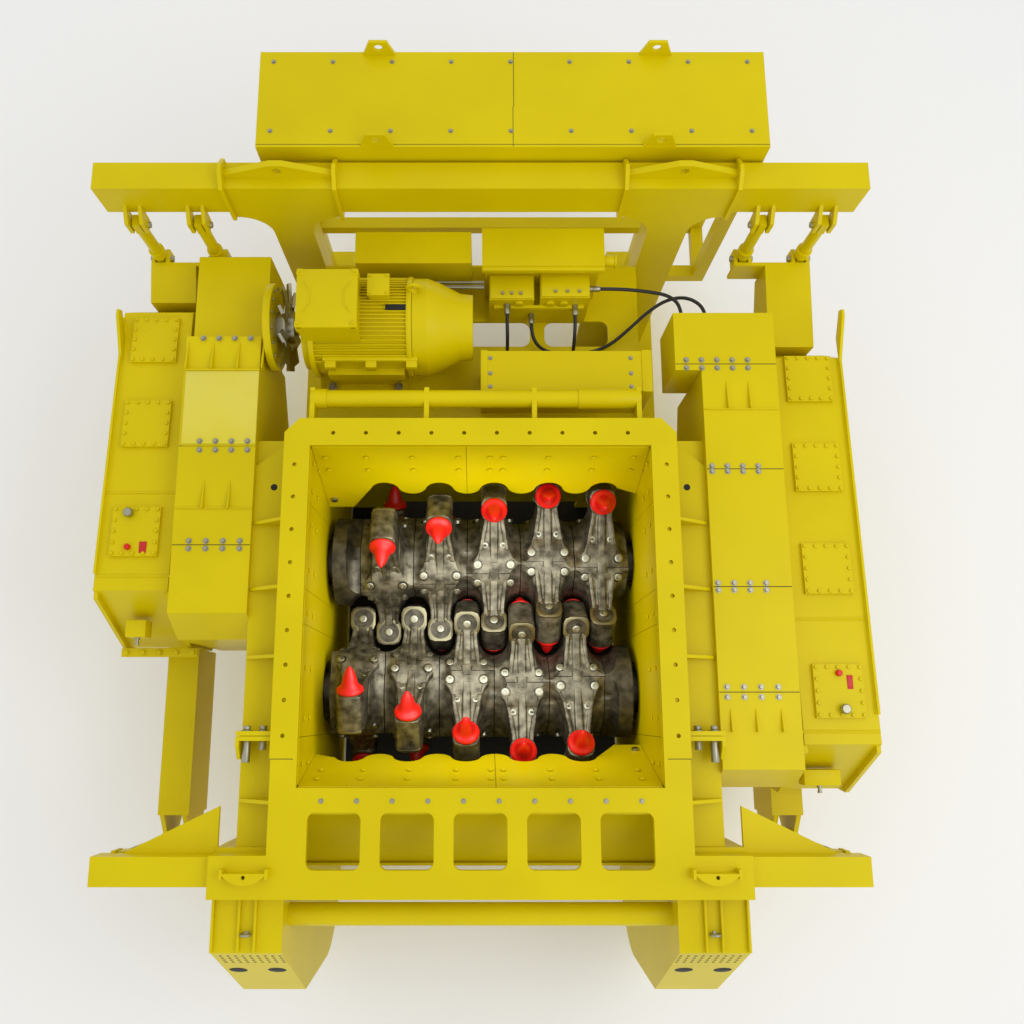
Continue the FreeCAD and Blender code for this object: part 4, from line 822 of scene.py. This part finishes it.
def strips(name, rows, *bevel):
    """Thin plates lying on a surface: (x0, x1, y0, y1, surface z, thickness)."""
    return [block(name, x0, x1, y0, y1, z, z + rise, *bevel) for x0, x1, y0, y1, z, rise in rows]


FIN = 9
fins = [prism("fin", [(x, 1743, GUARD_TOP), (x, 1549, GUARD_TOP), (x, 1549, GUARD_TOP + 42),
                      (x, 1560, GUARD_TOP + 42)], (FIN, 0, 0)) for x in (-1878, -1716, -1550, -1394)]
fins += fins_at((1560, 1700), 1290, 1480, 38) + fins_at((-1720, -1560), 640, 830, 38)
fins += fins_at((1470, 1620, 1770), -700, -560, 34)
add(joined("guard_fins", *fins), ENAMEL)
add(joined("guard_lips", *strips("lip", [
    (-1880, -1404, 1540, 1552, GUARD_TOP, 20), (-1875, -1410, 1044, 1056, GUARD_TOP, 5),
    (-1880, -1412, 640, 650, GUARD_TOP, 8), (1415, 1885, 1282, 1292, GUARD_TOP, 8)])), ENAMEL)
# One sheet of the left guard is paler and glossier than the enamel round it.
add(block("pale_sheet", -1876, -1410, 1056, 1540, GUARD_TOP, GUARD_TOP + SHEET, 4), PALE_ENAMEL)
# The seams are thin dark strips of painted shade, standing for the shaded gaps between plates.
seams = strips("seam", [
    (-1888, -1412, 1789, 1793, REAR_GUARD_TOP, 1.5), (-1888, -1412, 1043, 1047, GUARD_TOP, 1.5),
    (-1888, -1412, 413, 417, GUARD_TOP, 1.5), (1247, 1888, 1587, 1591, GUARD_TOP, 1.5),
    (1412, 1888, 894, 898, GUARD_TOP, 1.5), (1412, 1888, 156, 160, GUARD_TOP, 1.5),
    (1412, 1888, -472, -468, GUARD_TOP, 1.5), (201, 204, 3020, 3402, CANOPY_TOP, 1.2),
    (196, 199, 2748, 3020, CANOPY_TOP, 1.2), (-1358, 1748, 2762, 2764.5, CANOPY_TOP, 1)], 0)
add(joined("painted_seam_shade", *seams), DARK)

# %% Welds, breathers and plates on the gear cases
welds = []
for x0, x1, y, z in ((-2388, -1752, 776, 2103), (-2388, -1752, 238, 2136), (1752, 2388, -25, 2107),
                     (1752, 2388, -700, 2138)):
    welds.append(rod("weld", (x0, y, z), (x1, y, z), 7, 8, 0))
add(joined("case_welds", *welds), ENAMEL)
breather = lathe("breather", [(0, 0), (16, 0), (16, 16), (27, 16), (30, 22), (30, 44), (24, 52), (0, 54)], 24)
add(copies(breather, "breathers", [at(-2201, 635, 2135), at(2174, -567, 2155)]), PLATED)
vent = lathe("vent", [(0, 0), (15, 0), (19, 6), (19, 26), (14, 33), (0, 35)], 20)
add(copies(vent, "red_vents", [at(-2192, 417, 2148), at(2161, -355, 2145)]), RED_CAP)
plates = [block("plate", -2123, -2077, 380, 452, 2144, 2153, 1),
          block("plate", 2209, 2244, -450, -367, 2142, 2152, 1)]
add(joined("red_plates", *plates), RED_PLATE)
front_plates = [block("front_plate", -2385, -1880, -226, -168, 1585, 1612)]
front_bolts = [at(x, -198, 1612) for x in (-2350, -2240, -2132, -2020, -1910)]
add(joined("case_front_plates", *front_plates), ENAMEL)
lifting = [prism("case_lug", [(x, 1660, z), (x, 1850, z - 14), (x, 2010, z + 70), (x, 2000, z + 118),
                              (x, 1955, z + 122)], (20, 0, 0)) for x, z in ((-2388, 2050), (2368, 2046))]
rims = [prism("case_rim", [(x, y0, z0), (x, y1, z1), (x, y1, z1 + 16), (x, y0, z0 + 16)], (16, 0, 0))
        for x, y0, z0, y1, z1 in ((-1772, 1990, 2046, 250, 2152), (-2388, 1990, 2046, 250, 2152),
                                  (1756, 1720, 2040, -600, 2150), (2372, 1720, 2040, -600, 2150))]
add(joined("case_lugs_and_rims", *lifting, *rims), ENAMEL)
boxes = [block("sensor_box", -2243, -2116, -122, -15, 1830, 1950, 5),
         block("sensor_box", 1985, 2209, -1025, -931, 1810, 1925, 5)]
add(joined("sensor_boxes", *boxes), ENAMEL)
add(copies(hex_bolt("front_bolt", 30, 14), "front_bolts", front_bolts), ENAMEL)
gland = lathe("gland", [(0, 0), (16, 0), (16, 14), (11, 14), (11, 34), (14, 34), (14, 46), (0, 48)], 12)
add(copies(gland, "sensor_glands", [at(-2180, -122, 1900, facing((0, -1, 0))),
                                    at(2090, -1025, 1880, facing((0, -1, 0)))]), PLATED)

# %% Frame joints, lugs, aprons, and painted shade for holes and slits
JOINT_Z = 2290
LEG_TOP = GUARD_TOP
joint = [at(side * x, -692, JOINT_Z, facing((0, 1, 0))) for side in (-1, 1) for x in (1262, 1358)]
add(copies(hex_bolt("joint_bolt", 40, 26), "joint_bolts", joint), PLATED)
studs = [rod("joint_stud", (side * 1356, -749, JOINT_Z), (side * 1356, -870, JOINT_Z), 24, 24)
         for side in (-1, 1)]
studs += [rod("joint_nut", (side * 1262, -749, JOINT_Z), (side * 1262, -800, JOINT_Z), 22, 6)
          for side in (-1, 1)]
add(joined("joint_studs", *studs), PLATED)


def hole_shade_disc(name, radius):
    """A dark disc of painted shade that reads as a drilled hole."""
    return lathe(name, [(0, 1.2), (radius, 1.2), (radius * 1.06, 0), (radius * 1.06, -3), (0, -3)], 20)


def on_leg(x, down):
    """A place on a leg's front slope, so far down it, with its z axis off the face."""
    return at(x, -1903 - 0.436 * down, LEG_TOP - 0.9 * down, facing((0, -840, 407)))


# The perforations and the two big holes of each leg are dark discs of painted shade, not cut holes.
leg_dots = []
for row in range(4):
    leg_dots += [on_leg(side * (1130 + 42 * k), 60 + 48 * row) for k in range(9) for side in (-1, 1)]
add(copies(hole_shade_disc("leg_dot", 9), "leg_dots", leg_dots), DARK)
add(copies(hole_shade_disc("leg_hole", 52), "leg_holes",
           [on_leg(side * x, 400) for x in (1204, 1434) for side in (-1, 1)]), DARK)
leg_fins = [block("leg_fin", side * x - 7, side * x + 7, -1896, -1594, 2238, 2272, 2) for side in (-1, 1)
            for x in (1263, 1354, 1503)]
add(joined("leg_fins", *leg_fins), ENAMEL)


def mirrored(name, x0, x1, *rest):
    """The same sharp-edged strip on the left and on the right."""
    return [block(name, *sorted((side * x0, side * x1)), *rest, 0) for side in (-1, 1)]


# The slits and the flange seam are thin dark strips of painted shade, where gaps would lie in shadow.
slits = mirrored("slit", 1368, 1496, -1598, -1592, 2239, 2246)
slits += mirrored("slit", 1120, 1256, -1598, -1592, 2239, 2246)
slits += mirrored("flange_seam", 1062, 1196, -848, -844.5, FEED_Z, FEED_Z + 1)
add(joined("painted_slit_shade", *slits), DARK)
DECK_HALF = 1112
apron = [prism("apron", [(-DECK_HALF, -1120, 2238), (-DECK_HALF, -1468, 1962), (-DECK_HALF, -1468, 1948),
                         (-DECK_HALF, -1120, 2224)], (2 * DECK_HALF, 0, 0)),
         block("apron_lip", -DECK_HALF, DECK_HALF, -1478, -1462, 1940, 1990, 2)]
add(joined("deck_aprons", *apron), ENAMEL)
# The shelf holes are dark discs of painted shade as well.
shelf_holes = [at(side * x, 790, 2190) for side in (-1, 1) for x in (1219, 1292)]
add(copies(hole_shade_disc("shelf_hole", 20), "shelf_holes", shelf_holes), DARK)
bpy.ops.object.select_all(action="DESELECT")
bpy.ops.mesh.primitive_torus_add(major_radius=0.026, minor_radius=0.008, major_segments=24, minor_segments=10,
                                 location=(0, 0, 0.034), rotation=(math.pi / 2, 0, 0))
eye = joined("eye", settle("eye"), lathe("eye_foot", [(0, 0), (15, 0), (15, 8), (8, 12), (0, 12)], 16))
select_only(eye)
bpy.ops.object.shade_smooth_by_angle(angle=math.radians(40))
motor_eye = copies(eye, "motor_eye", [at(-421, 2020, 2388) @ Matrix.Scale(1.5, 4)], keep=True)
add(copies(eye, "leg_eyes", [at(side * 1311, -1800, 2240) for side in (-1, 1)]), PLATED)
add(motor_eye, ENAMEL)

# %% [markdown]
# ## Motor
# A finned motor: upright fins along the frame, a cast terminal box with a
# bolted lid, a small box beside it and a dark nameplate.

# %% Motor fins, terminal box and coupling disc
MOTOR_AXIS = (1897.5, 2100)
fins = []
for k in range(-12, 13):
    across = 24 * k
    high = MOTOR_AXIS[1] + math.sqrt(318 ** 2 - across ** 2)
    low = MOTOR_AXIS[1] + math.sqrt(max(290 ** 2 - across ** 2, 0)) - 12
    y = MOTOR_AXIS[0] + across
    fins.append(block("motor_fin", -1068, -446, y - 3.5, y + 3.5, low, high, 1.5))
add(joined("motor_fins", *fins), ENAMEL)
END_RING = [(292, 0), (322, 0), (326, 6), (326, 28), (322, 34), (292, 34)]
rings = [lathe("end_ring", END_RING, 56) for _ in range(2)]
for ring, x in zip(rings, (-1092, -470)):
    ring.data.transform(at(x, *MOTOR_AXIS, facing((1, 0, 0))))
add(joined("motor_end_rings", *rings), ENAMEL)
lid = block("terminal_lid", -1128, -752, 1690, 2076, 2556, 2584, 9)
lugs = [block("lid_lug", x - 22, x + 22, y - 22, y + 22, 2500, 2590, 8)
        for x in (-1108, -772) for y in (1712, 2054)]
relief = []
for side in (-1, 1):
    x = -940 + side * 150
    relief.append(prism("relief", [(x, 1990, 2584), (x - side * 40, 1930, 2584), (x - side * 40, 1850, 2584),
                                   (x, 1790, 2584), (x - side * 7, 1786, 2584), (x - side * 49, 1848, 2584),
                                   (x - side * 49, 1932, 2584), (x - side * 7, 1994, 2584)], (0, 0, 4), 1))
aux = block("aux_box", -701, -573, 1947, 2082, 2340, 2490, 8)
aux_lid = block("aux_lid", -707, -567, 1941, 2088, 2480, 2498, 5)
add(joined("terminal_box_lid", lid, aux, aux_lid, *lugs, *relief), ENAMEL)
box_bolts = [at(x, y, 2590) for x in (-1108, -772) for y in (1712, 2054)]
box_bolts += [at(x, y, 2498) for x in (-692, -582) for y in (1956, 2073)]
add(copies(hex_bolt("box_bolt", 16, 8, False), "box_bolts", box_bolts), ENAMEL)
add(block("motor_nameplate", -597, -465, 1880, 1916, 2414, 2423, 1), DARK)
band = [block("motor_band", -1010, -400, 1604, 1634, 2215, 2262, 6)]
band += [block("band_lug", x - 36, x + 36, 1560, 1640, 2190, 2256, 8) for x in (-960, -700, -440)]
add(joined("motor_band", *band), ENAMEL)
feet_bolts = [at(x, y, 1800) for x in (-1010, -560) for y in (1598, 2196)]
add(copies(hex_bolt("foot_bolt", 34, 20), "motor_foot_bolts", feet_bolts), PLATED)
disc = lathe("coupling_disc", [(60, 0), (283, 0), (285, 3), (285, 43), (283, 46), (60, 46)], 64)
disc.data.transform(at(-1378, *MOTOR_AXIS, facing((1, 0, 0))))
add(disc, ENAMEL, "motor_rotor")
DISC_BOLTS = 16
BOLT_CIRCLE = 250
disc_bolts = []
for k in range(DISC_BOLTS):
    turn = k * math.tau / DISC_BOLTS
    disc_bolts.append(at(-1332, MOTOR_AXIS[0] + BOLT_CIRCLE * math.cos(turn),
                         MOTOR_AXIS[1] + BOLT_CIRCLE * math.sin(turn), facing((1, 0, 0))))
add(copies(hex_bolt("disc_bolt", 18, 10, False), "disc_bolts", disc_bolts), BARE, "motor_rotor")

# %% Hose fittings, valves and tank
sleeve = lathe("sleeve", [(18.4, 0), (21, 0), (21, 16), (19, 18), (19, 22), (20, 24), (20, 66), (17, 72),
                          (12.4, 74), (12.4, 70), (18.4, 60)], 24)
ends = []
for _, route in HOSE_ROUTES.values():
    for tip, inner in ((route[0], route[1]), (route[-1], route[-2])):
        away = Vector(inner) - Vector(tip)
        ends.append(at(*(Vector(tip) - away.normalized() * 32), facing(away)))
add(copies(sleeve, "hose_fittings", ends), PLATED)
blocks = [block("valve_plate", 66, 354, 2116, 2284, 2070, 2082),
          block("valve_plate", 406, 724, 2116, 2284, 2100, 2112),
          block("valve_step", 90, 700, 2090, 2112, 1940, 1990)]
blocks += [rod("solenoid", (x, 2095, 2020), (x, 2135, 2020), 30) for x in (260, 470, 560)]
blocks += [rod("filler", (812, 2330, 2190), (884, 2330, 2190), 38),
           rod("filler_cap", (884, 2330, 2190), (896, 2330, 2190), 44)]
blocks.append(block("tank_lip", 10, 814, 2236, 2268, 2196, 2244, 6))
add(joined("hydraulic_details", *blocks), ENAMEL)
valve_bolts = [at(x, 2150, 2082) for x in (150, 210, 270)]
valve_bolts += [at(x, 2150, 2112) for x in (500, 580, 660)]
add(copies(hex_bolt("valve_bolt", 20, 14, False), "valve_bolts", valve_bolts), PLATED)
pipes = [rod("pipe", (-420, y, z), (25, y, z), 9, 12, 0)
         for y, z in ((2262, 2020), (2240, 2005), (2218, 2030))]
add(joined("thin_pipes", *pipes), PLATED)
ends = [block("shaft_guard_end", x0, x1, 1434, 1720, 1720, 2156) for x0, x1 in ((1, 46), (1046, 1113))]
sleeves = [rod("pipe_sleeve", (610, 1332.5, 2300), (1000, 1332.5, 2300), 63, 32),
           rod("pipe_sleeve", (-1058, 1332.5, 2300), (-960, 1332.5, 2300), 63, 32)]
add(joined("guard_ends_and_sleeves", *ends, *sleeves), ENAMEL)

# %% Strut collars and rod ends
collars = [rod("strut_collar", (side * 2070, -1418, 1930), (side * 2070, -1418, 2010), 46)
           for side in (-1, 1)]
pins = [rod("rod_pin", (side * x - 78, 2495, z), (side * x + 78, 2495, z), 21) for side in (-1, 1)
        for x in (1810, 2208) for z in (1905, 2365)]
add(joined("collars_and_pins", *collars, *pins), PLATED)

# %% [markdown]
# ## Stage and light
# A pale floor, an even pale world and a large soft lamp light the machine as a
# white room does. A small lamp below the feed flange, hidden from the camera,
# lifts the chamber walls. A dark plate under the rolls, part of the stage and
# not of the machine, is painted shade: it darkens the ground seen through the
# gaps, which lies in shadow under the machine.

# %% Floor, lamps and world
bpy.ops.object.select_all(action="DESELECT")
bpy.ops.mesh.primitive_plane_add(size=60)
floor = settle("studio_floor")
floor_material, tree, shader, place = new_material("pale_floor")
shader.inputs["Base Color"].default_value = colour("#FAFAF9")
shader.inputs["Roughness"].default_value = 0.9
floor.data.materials.append(floor_material)

# A dark plate of painted shade under the rolls darkens the ground seen through the gaps.
bpy.ops.object.select_all(action="DESELECT")
bpy.ops.mesh.primitive_plane_add(size=1)
shade_plate = settle("painted_shade_under_the_rolls")
shade_plate.data.transform(Matrix.Translation((0, -0.3, 0.002)) @ Matrix.Diagonal((2.2, 3.4, 1, 1)))
shade_plate.data.materials.append(DARK)

world = bpy.data.worlds.new("white_room")
world.use_nodes = True
bpy.context.scene.world = world
world.node_tree.nodes["Background"].inputs["Color"].default_value = (1, 1, 1, 1)
world.node_tree.nodes["Background"].inputs["Strength"].default_value = 0.86


def soft_lamp(name, place, target, size, power):
    """A square lamp aimed at a target; place and size in metres, power in watts."""
    data = bpy.data.lights.new(name, "AREA")
    data.shape = "SQUARE"
    data.size = size
    data.energy = power
    lamp = bpy.data.objects.new(name, data)
    bpy.context.scene.collection.objects.link(lamp)
    lamp.location = place
    lamp.rotation_euler = (Vector(target) - Vector(place)).to_track_quat("-Z", "Y").to_euler()
    return lamp


soft_lamp("overhead_lamp", (4.5, -1.0, 8.5), (0, 0, 1), 4, 120)
soft_lamp("chamber_lamp", (0, -0.55, 2.37), (0, -0.55, 0), 1.3, 12).visible_camera = False
bpy.context.scene.view_settings.view_transform = "Standard"
